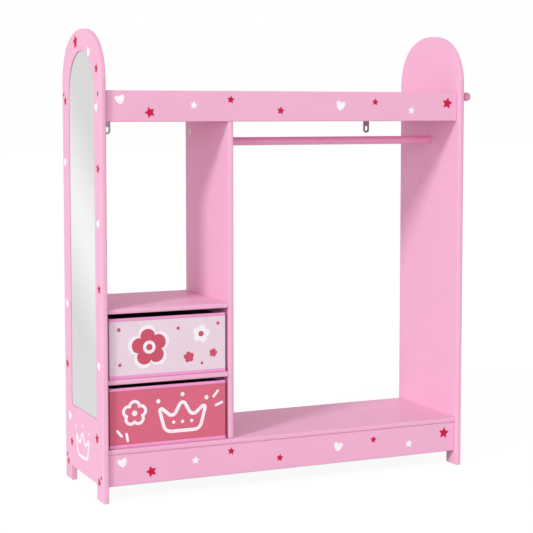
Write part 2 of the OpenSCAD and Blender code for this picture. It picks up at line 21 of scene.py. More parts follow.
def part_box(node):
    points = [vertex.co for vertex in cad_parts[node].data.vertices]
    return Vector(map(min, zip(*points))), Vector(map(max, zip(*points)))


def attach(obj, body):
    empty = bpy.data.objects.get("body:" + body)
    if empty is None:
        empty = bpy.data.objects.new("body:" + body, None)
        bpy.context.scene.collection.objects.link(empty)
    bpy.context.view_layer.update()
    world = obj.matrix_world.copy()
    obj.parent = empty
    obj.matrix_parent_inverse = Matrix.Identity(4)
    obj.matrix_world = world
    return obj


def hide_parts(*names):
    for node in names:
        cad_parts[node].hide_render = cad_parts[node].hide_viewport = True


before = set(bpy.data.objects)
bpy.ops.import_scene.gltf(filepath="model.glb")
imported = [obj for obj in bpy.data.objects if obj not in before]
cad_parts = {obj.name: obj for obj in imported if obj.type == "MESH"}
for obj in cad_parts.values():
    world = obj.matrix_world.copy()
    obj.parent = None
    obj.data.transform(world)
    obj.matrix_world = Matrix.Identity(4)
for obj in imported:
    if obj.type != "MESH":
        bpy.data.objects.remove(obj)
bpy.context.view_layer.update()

log = logging.getLogger("dress_up_unit")

MM = 0.001
# Faces that meet at more degrees than this keep a sharp edge, unless a piece says otherwise.
CREASE = 40.0
Point = tuple[float, float, float]
Flat = tuple[float, float]
# A place across a face, a place up it and a height off it become a point.
Face = Callable[[float, float, float], Point]
Colour = tuple[float, float, float, float]
# What feeds each input of a node, by the input's name or number.
Inputs = dict[str | int, object]


class Body(Enum):
    """The bodies that pieces ride on."""

    UNIT = "root"
    UPPER_BOX = "upper_box"
    LOWER_BOX = "lower_box"


class Lamp(Enum):
    """The kinds of lamp that the studio uses."""

    SUN = "SUN"
    AREA = "AREA"


def turns(steps: int) -> list[float]:
    """Divide a full turn into even steps."""
    return [i * math.tau / steps for i in range(steps)]


# ---- finishes ----


def linear(hex_colour: str) -> Colour:
    """Turn an sRGB colour such as #F4B8D6 into linear red, green, blue and alpha.

    Args:
        hex_colour: six hex digits after a hash sign.

    Returns:
        The colour as the shader sockets want it.
    """
    shares = [int(hex_colour[i : i + 2], 16) / 255 for i in (1, 3, 5)]
    red, green, blue = (c / 12.92 if c <= 0.04045 else ((c + 0.055) / 1.055) ** 2.4 for c in shares)
    return red, green, blue, 1.0


def per_metre(size_mm: float) -> float:
    """Give the texture scale at which one feature is size_mm wide."""
    return 1000 / size_mm


def feed(tree: NodeTree, node: Node, inputs: Inputs) -> None:
    """Fill a node's inputs.

    Args:
        tree: the node tree that holds the node.
        node: the node.
        inputs: for each input a value, a socket to link from, or a node whose first output is
            linked.
    """
    for name, value in inputs.items():
        if isinstance(value, Node):
            value = value.outputs[0]
        if isinstance(value, NodeSocket):
            tree.links.new(value, node.inputs[name])
        else:
            node.inputs[name].default_value = value


def add_node(tree: NodeTree, kind: str, inputs: Inputs | None = None, **settings: object) -> Node:
    """Add a node with its settings and links.

    Args:
        tree: the node tree that takes the node.
        kind: the node's class name.
        inputs: what feeds its inputs.
        **settings: properties of the node, such as its operation.

    Returns:
        The new node.
    """
    node = tree.nodes.new(kind)
    for name, value in settings.items():
        setattr(node, name, value)
    feed(tree, node, inputs or {})
    return node


def blank_material(name: str) -> Material:
    """Make a material whose node tree is empty.

    Args:
        name: the material's name.

    Returns:
        The material.
    """
    material = bpy.data.materials.new(name)
    material.use_nodes = True
    material.node_tree.nodes.clear()
    return material


@dataclass(frozen=True)
class Finish:
    """One real finish: a common material and how its surface was made."""

    name: str
    slot: str
    colour: str
    roughness: float

    def inputs(self, tree: NodeTree) -> Inputs:
        """Give the shader's inputs that make this finish more than an even colour."""
        return {}

    def build(self) -> Material:
        """Make the material.

        Returns:
            A material whose one shader carries the finish.
        """
        material = blank_material(self.name)
        material.diffuse_color = linear(self.colour)
        tree = material.node_tree
        plain = {"Base Color": linear(self.colour), "Roughness": self.roughness}
        shader = add_node(tree, "ShaderNodeBsdfPrincipled", plain)
        feed(tree, shader, self.inputs(tree))
        add_node(tree, "ShaderNodeOutputMaterial", {"Surface": shader})
        return material

    def places(self, tree: NodeTree) -> NodeSocket:
        """Give the piece's own coordinates in metres, which move with it."""
        return add_node(tree, "ShaderNodeTexCoord").outputs["Object"]

    def grain(
        self, tree: NodeTree, size_mm: float, detail: float, run: Point | None = None
    ) -> Node:
        """Spread a soft random pattern over the piece.

        Args:
            tree: the material's node tree.
            size_mm: the width of one feature.
            detail: how many finer layers it has.
            run: for a pattern that runs one way, how much each axis is slowed down.

        Returns:
            The node of the pattern.
        """
        places = self.places(tree)
        if run is not None:
            places = add_node(tree, "ShaderNodeMapping", {"Vector": places, "Scale": run})
        spread = {"Vector": places, "Scale": per_metre(size_mm), "Detail": detail}
        return add_node(tree, "ShaderNodeTexNoise", spread)

    def shaded(
        self, tree: NodeTree, colour: Colour | Node, pattern: Node, reach: float, ends: Flat
    ) -> Node:
        """Vary a colour's brightness by a pattern.

        Args:
            tree: the material's node tree.
            colour: the colour, or the node that gives it.
            pattern: the node whose values, which lie round 0.5, decide.
            reach: how far from 0.5 the values count.
            ends: the brightness at the low and at the high end; 1 leaves the colour as it is.

        Returns:
            The node of the varied colour.
        """
        low, high = ends
        span = {"From Min": 0.5 - reach, "From Max": 0.5 + reach, "To Min": low, "To Max": high}
        value = add_node(tree, "ShaderNodeMapRange", {"Value": pattern, **span})
        return add_node(tree, "ShaderNodeHueSaturation", {"Color": colour, "Value": value})

    def mottle(self, tree: NodeTree, amount: float, size_mm: float) -> Node:
        """Vary the finish's own colour in soft patches, brighter and darker by a small share."""
        patches = self.grain(tree, size_mm, detail=3.0)
        return self.shaded(tree, linear(self.colour), patches, 0.2, (1 - amount, 1 + amount))


@dataclass(frozen=True)
class SatinLacquer(Finish):
    """Sprayed satin lacquer on fibreboard.

    The eye sees an even, softly shining colour, and a faint orange peel where light grazes it.
    """

    # Real orange peel is about 1 mm; it is drawn three times as coarse, or no render would show it.
    peel_mm: float = 3.0
    peel_depth: float = 0.02 * MM
    gloss_change: float = 0.03

    def inputs(self, tree: NodeTree) -> Inputs:
        """Give the mottled film and its orange peel.

        Args:
            tree: the material's node tree.

        Returns:
            What feeds the shader.
        """
        peel = self.grain(tree, self.peel_mm, detail=2.0)
        low, high = self.roughness - self.gloss_change, self.roughness + self.gloss_change
        gloss = {"Value": peel, "To Min": low, "To Max": high}
        relief = {"Strength": 0.5, "Distance": self.peel_depth, "Height": peel}
        return {
            "Base Color": self.mottle(tree, amount=0.012, size_mm=90),
            "Roughness": add_node(tree, "ShaderNodeMapRange", gloss),
            "Normal": add_node(tree, "ShaderNodeBump", relief),
            "Specular IOR Level": 0.12,
            "Coat Weight": 0.03,
            "Coat Roughness": 0.22,
        }


@dataclass(frozen=True)
class TurnedLacquer(Finish):
    """Gloss lacquer brushed on turned hardwood.

    The eye sees a deeper, shinier pink than the boards, with the grain as faint long streaks.
    """

    grain_mm: float = 1.5
    grain_run: Point = (0.04, 1.0, 1.0)
    grain_depth: float = 0.03 * MM

    def inputs(self, tree: NodeTree) -> Inputs:
        """Give the streaks of the grain along X, where the rod and the pegs lie.

        Args:
            tree: the material's node tree.

        Returns:
            What feeds the shader.
        """
        streaks = self.grain(tree, self.grain_mm, detail=4.0, run=self.grain_run)
        relief = {"Strength": 0.4, "Distance": self.grain_depth, "Height": streaks}
        return {
            "Base Color": self.shaded(tree, linear(self.colour), streaks, 0.2, (0.95, 1.05)),
            "Normal": add_node(tree, "ShaderNodeBump", relief),
            "Coat Weight": 0.35,
            "Coat Roughness": 0.12,
        }


@dataclass(frozen=True)
class ScreenInk(Finish):
    """Ink screen-printed in one thick pass.

    The eye sees a flat, opaque colour that hardly shines, also at a grazing angle, with tiny
    specks where the mesh of the screen left less ink.
    """

    mesh_mm: float = 0.8
    mesh_depth: float = 0.02 * MM

    def inputs(self, tree: NodeTree) -> Inputs:
        """Give the specks of the screen as colour and as height.

        Args:
            tree: the material's node tree.

        Returns:
            What feeds the shader.
        """
        specks = self.grain(tree, self.mesh_mm, detail=1.0)
        relief = {"Strength": 0.3, "Distance": self.mesh_depth, "Height": specks}
        return {
            "Base Color": self.mottle(tree, amount=0.03, size_mm=6),
            "Normal": add_node(tree, "ShaderNodeBump", relief),
            "Specular IOR Level": 0.02,
        }


@dataclass(frozen=True)
class SilveredAcrylic(Finish):
    """Cast acrylic sheet, silvered on the back.

    The eye sees a clear but slightly grey reflection that bends a little, because the sheet is
    thin and held by tape.
    """

    wave_mm: float = 160.0
    wave_depth: float = 0.12 * MM

    def inputs(self, tree: NodeTree) -> Inputs:
        """Give the slow waves of the sheet.

        Args:
            tree: the material's node tree.

        Returns:
            What feeds the shader.
        """
        waves = self.grain(tree, self.wave_mm, detail=0.0)
        relief = {"Strength": 1.0, "Distance": self.wave_depth, "Height": waves}
        return {"Normal": add_node(tree, "ShaderNodeBump", relief), "Metallic": 1.0}


@dataclass(frozen=True)
class PolishedAcrylic(Finish):
    """The cut edge of the acrylic sheet, flame polished: wet-looking, grey and faintly green."""

    def inputs(self, tree: NodeTree) -> Inputs:
        """Give the clear body of the sheet behind its edge."""
        colour = self.mottle(tree, amount=0.04, size_mm=12)
        return {"Base Color": colour, "IOR": 1.49, "Coat Weight": 0.6, "Coat Roughness": 0.05}


@dataclass(frozen=True)
class ZincPlate(Finish):
    """Steel, cold formed and bright zinc plated.

    The eye sees a cool grey metal with fine scratches from the tumbling drum and slightly cloudy
    patches of plating.
    """

    scratch_mm: float = 0.6
    scratch_depth: float = 0.02 * MM
    scratch_bend: float = 1.5

    def inputs(self, tree: NodeTree) -> Inputs:
        """Give the cloudy plating and its scratches.

        Args:
            tree: the material's node tree.

        Returns:
            What feeds the shader.
        """
        scratches = self.grain(tree, self.scratch_mm, detail=3.0)
        feed(tree, scratches, {"Distortion": self.scratch_bend})
        low, high = self.roughness - 0.1, self.roughness + 0.12
        gloss = {"Value": scratches, "To Min": low, "To Max": high}
        relief = {"Strength": 0.25, "Distance": self.scratch_depth, "Height": scratches}
        return {
            "Base Color": self.mottle(tree, amount=0.08, size_mm=5),
            "Roughness": add_node(tree, "ShaderNodeMapRange", gloss),
            "Normal": add_node(tree, "ShaderNodeBump", relief),
            "Metallic": 1.0,
        }


@dataclass(frozen=True)
class SpunbondCloth(Finish):
    """Polypropylene fibres laid at random and spot welded under a hot roller.

    The eye sees a matt, papery cloth with rows of small pressed dimples and a faint streak where
    more fibres lie together.
    """

    # The real dimples are 1 mm apart; at 3 mm they still read as dimples in a render.
    dimple_mm: float = 3.0
    dimple_depth: float = 0.12 * MM
    fibre_mm: float = 1.2
    fibre_run: Point = (1.0, 1.0, 0.12)

    def inputs(self, tree: NodeTree) -> Inputs:
        """Give the rows of welded dimples, the streaks of fibre and the soft sheen.

        Args:
            tree: the material's node tree.

        Returns:
            What feeds the shader.
        """
        rows = {"Vector": self.places(tree), "Scale": per_metre(self.dimple_mm), "Randomness": 0.15}
        dimples = add_node(tree, "ShaderNodeTexVoronoi", rows)
        walls = {"Value": dimples, "From Min": 0.1, "From Max": 0.45}
        pressed = add_node(tree, "ShaderNodeMapRange", walls)
        fibres = self.grain(tree, self.fibre_mm, detail=3.0, run=self.fibre_run)
        height = add_node(tree, "ShaderNodeMath", {0: pressed, 1: fibres}, operation="ADD")
        relief = {"Strength": 0.5, "Distance": self.dimple_depth, "Height": height}
        patches = self.mottle(tree, amount=0.02, size_mm=35)
        return {
            "Base Color": self.shaded(tree, patches, fibres, 0.25, (0.96, 1.04)),
            "Normal": add_node(tree, "ShaderNodeBump", relief),
            "Sheen Weight": 0.15,
            "Sheen Roughness": 0.6,
            "Specular IOR Level": 0.25,
        }


@dataclass(frozen=True)
class RibbedTape(Finish):
    """Polyester binding tape, woven with a rib across its width.

    The eye sees a soft pink gloss that is broken into fine ribs.
    """

    # A real rib is 0.5 mm wide; it is drawn at 1.6 mm so that it shows.
    rib_mm: float = 1.6
    rib_depth: float = 0.1 * MM

    def inputs(self, tree: NodeTree) -> Inputs:
        """Give the ribs, which stand upright on all four sides of a box.

        Args:
            tree: the material's node tree.

        Returns:
            What feeds the shader.
        """
        place = add_node(tree, "ShaderNodeSeparateXYZ", {0: self.places(tree)}).outputs
        run = add_node(tree, "ShaderNodeMath", {0: place["X"], 1: place["Y"]}, operation="ADD")
        turn = {0: run, 1: math.tau * per_metre(self.rib_mm)}
        turned = add_node(tree, "ShaderNodeMath", turn, operation="MULTIPLY")
        ribs = add_node(tree, "ShaderNodeMath", {0: turned}, operation="SINE")
        relief = {"Strength": 0.6, "Distance": self.rib_depth, "Height": ribs}
        return {
            "Base Color": self.mottle(tree, amount=0.03, size_mm=10),
            "Normal": add_node(tree, "ShaderNodeBump", relief),
            "Sheen Weight": 0.25,
            "Sheen Roughness": 0.4,
        }


@dataclass(frozen=True)
class FibrousStock(Finish):
    """Raw pressed or sawn stock, such as grey board, foam or beech.

    The eye sees a dry, matt surface with short fibres or cells lying one way.
    """

    fibre_mm: float = 1.0
    fibre_run: Point = (0.2, 1.0, 1.0)
    fibre_depth: float = 0.1 * MM

    def inputs(self, tree: NodeTree) -> Inputs:
        """Give the fibres as colour and as height.

        Args:
            tree: the material's node tree.

        Returns:
            What feeds the shader.
        """
        fibres = self.grain(tree, self.fibre_mm, detail=5.0, run=self.fibre_run)
        relief = {"Strength": 0.4, "Distance": self.fibre_depth, "Height": fibres}
        return {
            "Base Color": self.shaded(tree, linear(self.colour), fibres, 0.25, (0.85, 1.12)),
            "Normal": add_node(tree, "ShaderNodeBump", relief),
        }


BOARD = SatinLacquer("satin_lacquered_fibreboard", "pink_board", "#EFBAD5", 0.5)
TURNED = TurnedLacquer("gloss_lacquered_turned_wood", "pink_turned_wood", "#EFA6CB", 0.3)
CRIMSON_INK = ScreenInk("screen_printed_crimson_ink", "pink_board", "#CB2650", 0.38)
WHITE_INK = ScreenInk("screen_printed_white_ink", "pink_board", "#FAFEFD", 0.38)
MIRROR_FACE = SilveredAcrylic("silvered_acrylic", "mirror", "#D0D0D0", 0.02)
MIRROR_EDGE = PolishedAcrylic("flame_polished_acrylic_edge", "mirror", "#8A9490", 0.12)
MIRROR_BACK = Finish("sprayed_grey_backing_paint", "mirror", "#8C8F91", 0.6)
STEEL = ZincPlate("bright_zinc_plated_steel", "zinc_steel", "#A6A8AB", 0.34)
PASSIVATED = ZincPlate("blue_passivated_steel", "zinc_steel", "#747B85", 0.38)
DIE_CAST = ZincPlate("die_cast_zinc", "zinc_steel", "#C6C4C6", 0.5, scratch_mm=1.1)
UPPER_CLOTH = SpunbondCloth("spunbond_pale_rose_cloth", "rose_grey_fabric", "#E6DBE2", 0.85)
LOWER_CLOTH = SpunbondCloth("spunbond_rose_cloth", "rose_fabric", "#D66B82", 0.85)
LINING_CLOTH = SpunbondCloth("spunbond_black_cloth", "black_lining", "#1E171C", 0.9)
ROSE_INK = ScreenInk("printed_rose_ink", "rose_grey_fabric", "#CC5C70", 0.7)
CHALK_INK = ScreenInk("printed_chalk_ink", "rose_grey_fabric", "#F6F6F9", 0.7)
LOWER_CHALK_INK = ScreenInk("printed_chalk_ink_on_rose", "rose_fabric", "#F8F8FA", 0.7)
BINDING = RibbedTape("ribbed_binding_tape", "binding_tape", "#EE9FD0", 0.55)
THREAD = RibbedTape("spun_polyester_thread", "binding_tape", "#F3B0D8", 0.5, rib_mm=0.8)
CARD = FibrousStock("pressed_grey_board", "grey_card", "#B79B78", 0.9)
FOAM = FibrousStock(
    "blown_foam_tape", "foam_tape", "#F2F2F0", 0.9, fibre_mm=0.7, fibre_run=(1.0, 1.0, 1.0)
)
BEECH = FibrousStock("planed_beech", "beech", "#D9B98A", 0.6, fibre_mm=1.4)


@lru_cache(maxsize=None)
def material_of(finish: Finish) -> Material:
    """Give a finish's material, which is made once and shared."""
    return finish.build()


# ---- meshes ----


@dataclass
class Form:
    """Points and faces that are gathered before they become one piece."""

    points: list[Point] = field(default_factory=list)
    faces: list[tuple[int, ...]] = field(default_factory=list)

    def ring(self, points: Iterable[Point]) -> list[int]:
        """Add a row of points.

        Args:
            points: the places of the row, in order.

        Returns:
            The numbers that the new points got.
        """
        start = len(self.points)
        self.points.extend(tuple(point) for point in points)
        return list(range(start, len(self.points)))

    def loft(self, rings: Sequence[Sequence[int]]) -> None:
        """Join closed rings, each to the next, with four-sided faces.

        Args:
            rings: rows of point numbers, all of the same length.
        """
        count = len(rings[0])
        for low, high in zip(rings, rings[1:]):
            for i in range(count):
                after = (i + 1) % count
                self.faces.append((low[i], low[after], high[after], high[i]))

    def cap(self, ring: Sequence[int], centre: Point | None = None) -> None:
        """Close a ring.

        Args:
            ring: the point numbers round the hole, in the order that faces outwards.
            centre: a point for a fan of triangles; without it the ring is one flat face.
        """
        if centre is None:
            self.faces.append(tuple(ring))
            return
        hub = self.ring([centre])[0]
        count = len(ring)
        self.faces.extend((ring[i], ring[(i + 1) % count], hub) for i in range(count))

    def piece(self, name: str, finish: Finish, body: Body, crease: float = CREASE) -> Object:
        """Turn the form into a piece of the object.

        Args:
            name: the piece's name.
            finish: what it is made of.
            body: the body it rides on.
            crease: the angle, in degrees, from which its edges stay sharp.

        Returns:
            The new object.
        """
        mesh = bpy.data.meshes.new(name)
        mesh.from_pydata(self.points, [], self.faces)
        mesh.validate()
        mesh.shade_smooth()
        mesh.set_sharp_from_angle(angle=math.radians(crease))
        mesh.materials.append(material_of(finish))
        made = bpy.data.objects.new(name, mesh)
        bpy.context.scene.collection.objects.link(made)
        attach(made, body.value)
        log.info("%s: %d points, %d faces", name, len(self.points), len(self.faces))
        return made


@dataclass(frozen=True)
class Station:
    """One place on the way round a rounded rectangle, whatever its size.

    The straight sides run from -1 to 1, and at a corner both of those stay at their ends while
    the direction turns.
    """

    side_x: float
    side_y: float
    out_x: float
    out_y: float

    def at(self, half_w: float, half_d: float, radius: float) -> Flat:
        """Give the place on one rounded rectangle round the origin.

        Args:
            half_w: half of its width along X.
            half_d: half of its depth along Y.
            radius: its corner radius.

        Returns:
            The place along X and Y.
        """
        return (
            self.side_x * (half_w - radius) + self.out_x * radius,
            self.side_y * (half_d - radius) + self.out_y * radius,
        )


@lru_cache(maxsize=None)
def round_trip(per_side: int, per_corner: int) -> tuple[Station, ...]:
    """Walk once round a rounded rectangle, anticlockwise from above.

    Args:
        per_side: steps along each straight side.
        per_corner: steps round each corner.

    Returns:
        The stations, from the left end of the front side.
    """
    stations = []
    for quarter in range(4):
        turn = quarter * math.pi / 2
        out = Vector((math.sin(turn), -math.cos(turn)))
        ahead = Vector((math.cos(turn), math.sin(turn)))
        for step in range(per_side):
            along = out + ahead * (2 * step / per_side - 1)
            stations.append(Station(along.x, along.y, out.x, out.y))
        corner = out + ahead
        for step in range(per_corner):
            angle = step / per_corner * math.pi / 2
            face = out * math.cos(angle) + ahead * math.sin(angle)
            stations.append(Station(corner.x, corner.y, face.x, face.y))
    return tuple(stations)


def walk(path: Sequence[Point], pitch: float) -> Iterable[tuple[Vector, Vector]]:
    """Walk round a closed path in even steps.

    Args:
        path: the points of the path.
        pitch: the length of a step.

    Yields:
        Each place and the direction there.
    """
    left = 0.0
    for i, point in enumerate(path):
        start, end = Vector(point), Vector(path[(i + 1) % len(path)])
        length = (end - start).length
        ahead = (end - start).normalized()
        while left < length:
            yield start + ahead * left, ahead
            left += pitch
        left -= length


# ---- prints ----


def softened(corners: Sequence[Flat], radius: float, steps: int = 4) -> list[Flat]:
    """Round the corners of a closed outline.

    Args:
        corners: its corners.
        radius: how far from a corner its arc starts, at most half of each side.
        steps: points on each rounding, less one.

    Returns:
        The points of the softened outline.
    """
    outline = []
    for i, corner in enumerate(corners):
        here = Vector(corner)
        before = Vector(corners[i - 1]) - here
        after = Vector(corners[(i + 1) % len(corners)]) - here
        reach = min(radius, before.length / 2, after.length / 2)
        inward = (before.normalized() + after.normalized()).normalized()
        hub = here + inward * (reach / math.cos(before.angle(after) / 2))
        start, end = (here + side.normalized() * reach - hub for side in (before, after))
        for step in range(steps + 1):
            # The slerp of two vectors has a length of one.
            point = hub + start.slerp(end, step / steps) * start.length
            outline.append((point.x, point.y))
    return outline


def star(size: float) -> list[Flat]:
    """Draw a plump star with five points.

    Args:
        size: its width across the arms, whose tips lie 18 degrees above its middle.

    Returns:
        Its outline, anticlockwise.
    """
    tip = size / (2 * math.cos(math.radians(18)))
    dip = tip / 2
    corners = []
    for i in range(10):
        reach, turn = (tip, dip)[i % 2], i * math.pi / 5
        corners.append((reach * math.sin(turn), reach * math.cos(turn)))
    return softened(corners[::-1], 0.06 * size)


def heart(size: float) -> list[Flat]:
    """Draw a full heart: the usual heart curve, which is 32 wide, with fuller lobes.

    Args:
        size: its width.

    Returns:
        Its outline, anticlockwise.
    """
    scale = size / 32
    outline = []
    for t in turns(44):
        across = -scale * 16 * math.sin(t) * abs(math.sin(t)) ** 0.8
        up = scale * (15 * math.cos(t) - 4.8 * math.cos(2 * t) - 1.8 * math.cos(3 * t))
        outline.append((across, up))
    return outline


def flower(size: float) -> list[Flat]:
    """Draw a flower whose petals are round and meet in narrow dips.

    Args:
        size: its width from petal to petal.

    Returns:
        Its outline, anticlockwise.
    """
    petals, dip, fullness = 5, 0.3, 0.7
    outline = []
    for t in turns(16 * petals):
        reach = size / 2 * (1 - dip * (1 - abs(math.cos(petals * t / 2)) ** fullness))
        outline.append((-reach * math.sin(t), reach * math.cos(t)))
    return outline


def dot(size: float) -> list[Flat]:
    """Draw a round dot, size across."""
    return [(-size / 2 * math.sin(t), size / 2 * math.cos(t)) for t in turns(28)]


def dash(size: float) -> list[Flat]:
    """Draw an upright dash with round ends.

    Args:
        size: its length.

    Returns:
        Its outline, anticlockwise.
    """
    radius = 0.14 * size
    outline = []
    for t in turns(24):
        end = size / 2 - radius if math.cos(t) > 0 else radius - size / 2
        outline.append((-radius * math.sin(t), end + radius * math.cos(t)))
    return outline


def crown(width: float, height: float) -> list[Flat]:
    """Draw a crown of three points round its middle.

    Args:
        width: from tip to tip.
        height: from the foot to the middle tip.

    Returns:
        Its outline, anticlockwise.
    """
    foot, side_tip, dip = 0.36 * width, 0.84 * height, 0.42 * height
    corners = [
        (-foot, 0.0),
        (foot, 0.0),
        (width / 2, side_tip),
        (0.2 * width, dip),
        (0.0, height),
        (-0.2 * width, dip),
        (-width / 2, side_tip),
    ]
    return softened([(x, y - height / 2) for x, y in corners], 0.12 * width, steps=7)


class Motif(Enum):
    """The figures that are printed."""

    STAR = "star"
    HEART = "heart"
    FLOWER = "flower"
    DOT = "dot"
    DASH = "dash"

    def outline(self, size: float) -> list[Flat]:
        """Draw this figure.

        Args:
            size: its width, or a dash's length.

        Returns:
            Its outline round its own middle, anticlockwise.
        """
        drawn = {
            Motif.STAR: star,
            Motif.HEART: heart,
            Motif.FLOWER: flower,
            Motif.DOT: dot,
            Motif.DASH: dash,
        }
        return drawn[self](size)


@dataclass(frozen=True)
class Spot:
    """A figure's place on a face and its size, in millimetres, and its turn in degrees."""

    motif: Motif
    across: float
    up: float
    size: float
    turn: float = 0.0


@dataclass(kw_only=True)
class InkFilm(Form):
    """The film of one ink on a face, which figures and lines are laid into."""

    face: Face
    thickness: float = 0.12 * MM

    def lay(self, outline: Sequence[Flat], centre: Flat, turn: float = 0.0, layer: int = 1) -> None:
        """Lay a filled figure on the face.

        Args:
            outline: the figure's outline round its own middle, anticlockwise.
            centre: its place on the face.
            turn: how far it is turned anticlockwise, in degrees.
            layer: 1 for ink on the face itself, 2 for ink on that ink, and so on.
        """
        cosine, sine = math.cos(math.radians(turn)), math.sin(math.radians(turn))
        turned = [(x * cosine - y * sine, x * sine + y * cosine) for x, y in outline]
        lift = layer * self.thickness
        rings = []
        # The side of the film, and then its top in rings that shrink to the middle.
        for share, height in ((1, -self.thickness), (1, lift), (2 / 3, lift), (1 / 3, lift)):
            places = [(centre[0] + share * x, centre[1] + share * y) for x, y in turned]
            rings.append(self.ring(self.face(across, up, height) for across, up in places))
        self.loft(rings)
        self.cap(rings[-1], self.face(*centre, lift))
        self.cap(rings[0][::-1])

    def draw(self, path: Sequence[Flat], centre: Flat, width: float) -> None:
        """Draw a line of ink along a closed path.

        Args:
            path: the middle of the line, round its own origin.
            centre: that origin's place on the face.
            width: the line's width.
        """
        lift = self.thickness
        rows = []
        for i, here in enumerate(path):
            ahead = (Vector(path[(i + 1) % len(path)]) - Vector(path[i - 1])).normalized()
            side = Vector((-ahead.y, ahead.x)) * width / 2
            middle = Vector(centre) + Vector(here)
            left, right = middle + side, middle - side
            edges = ((left, -lift), (left, lift), (right, lift), (right, -lift))
            rows.append(self.ring(self.face(edge.x, edge.y, height) for edge, height in edges))
        self.loft(rows + rows[:1])

    def spots(self, spots: Iterable[Spot]) -> None:
        """Lay figures on the face itself.

        Args:
            spots: the figures and their places.
        """
        for spot in spots:
            centre = (spot.across * MM, spot.up * MM)
            self.lay(spot.motif.outline(spot.size * MM), centre, spot.turn)


# ---- the carcass ----


@dataclass
class Carcass:
    """The lacquered boards, their turned pieces and their fittings, all as the frame holds them."""

    finishes: ClassVar[dict[str, Finish]] = {
        "pink_board": BOARD,
        "pink_turned_wood": TURNED,
        "zinc_steel": STEEL,
        "beech": BEECH,
        "foam_tape": FOAM,
        "grey_card": CARD,
    }
    special: ClassVar[dict[str, Finish]] = {
        "cam_locks": DIE_CAST,
        "rail_screws_left": PASSIVATED,
        "rail_screws_right": PASSIVATED,
    }
    eased: float = 0.5 * MM
    weld: float = 0.001 * MM
    # Shorter edges belong to bores, which stay crisp.
    least_edge: float = 2.5 * MM
    sharp_from: float = 60.0

    def easing(self) -> NodeTree:
        """Mark which edges are eased and which stay sharp.

        Returns:
            A node tree that writes both as attributes of the edges.
        """
        tree = bpy.data.node_groups.new("board_edges", "GeometryNodeTree")
        for way in ("INPUT", "OUTPUT"):
            tree.interface.new_socket("Geometry", in_out=way, socket_type="NodeSocketGeometry")
        board = add_node(tree, "NodeGroupInput")
        angle = add_node(tree, "GeometryNodeInputMeshEdgeAngle")
        ends = add_node(tree, "GeometryNodeInputMeshEdgeVertices").outputs
        apart = {0: ends["Position 1"], 1: ends["Position 2"]}
        length = add_node(tree, "ShaderNodeVectorMath", apart, operation="DISTANCE")
        over_angle = {0: angle, 1: math.radians(self.sharp_from)}
        over_length = {0: length.outputs["Value"], 1: self.least_edge}
        square, long = (
            add_node(tree, "FunctionNodeCompare", test, data_type="FLOAT", operation="GREATER_THAN")
            for test in (over_angle, over_length)
        )
        eased = add_node(tree, "FunctionNodeBooleanMath", {0: square, 1: long}, operation="AND")
        crisp = add_node(tree, "FunctionNodeBooleanMath", {0: square, 1: eased}, operation="NIMPLY")
        marks = (("bevel_weight_edge", "FLOAT", eased), ("sharp_edge", "BOOLEAN", crisp))
        for name, kind, mark in marks:
            marked = {"Geometry": board, "Name": name, "Value": mark}
            board = add_node(
                tree, "GeometryNodeStoreNamedAttribute", marked, data_type=kind, domain="EDGE"
            )
        smooth = add_node(tree, "GeometryNodeSetShadeSmooth", {"Geometry": board}, domain="FACE")
        add_node(tree, "NodeGroupOutput", {0: smooth})
        return tree

    def dress(self) -> None:
        """Give every rigid node its finish, and every square edge of a board a slight round."""
        easing = self.easing()
        for name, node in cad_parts.items():
            slot = node.material_slots[0]
            finish = self.finishes.get(slot.material.name)
            if finish is None:
                continue
            slot.material = material_of(self.special.get(name, finish))
            if finish is BOARD:
                self.ease(node, easing)
            log.info("%s: %s", name, slot.material.name)

    def ease(self, node: Object, easing: NodeTree) -> None:
        """Round a board's square edges and let its bevels shine as rounds.

        Args:
            node: the board.
            easing: the tree that marks its edges.
        """
        node.modifiers.new("weld", "WELD").merge_threshold = self.weld
        node.modifiers.new("edges", "NODES").node_group = easing
        bevel = node.modifiers.new("round", "BEVEL")
        bevel.limit_method = "WEIGHT"
        bevel.width = self.eased
        bevel.segments = 2
        bevel.use_clamp_overlap = False
        node.modifiers.new("shine", "WEIGHTED_NORMAL").keep_sharp = True


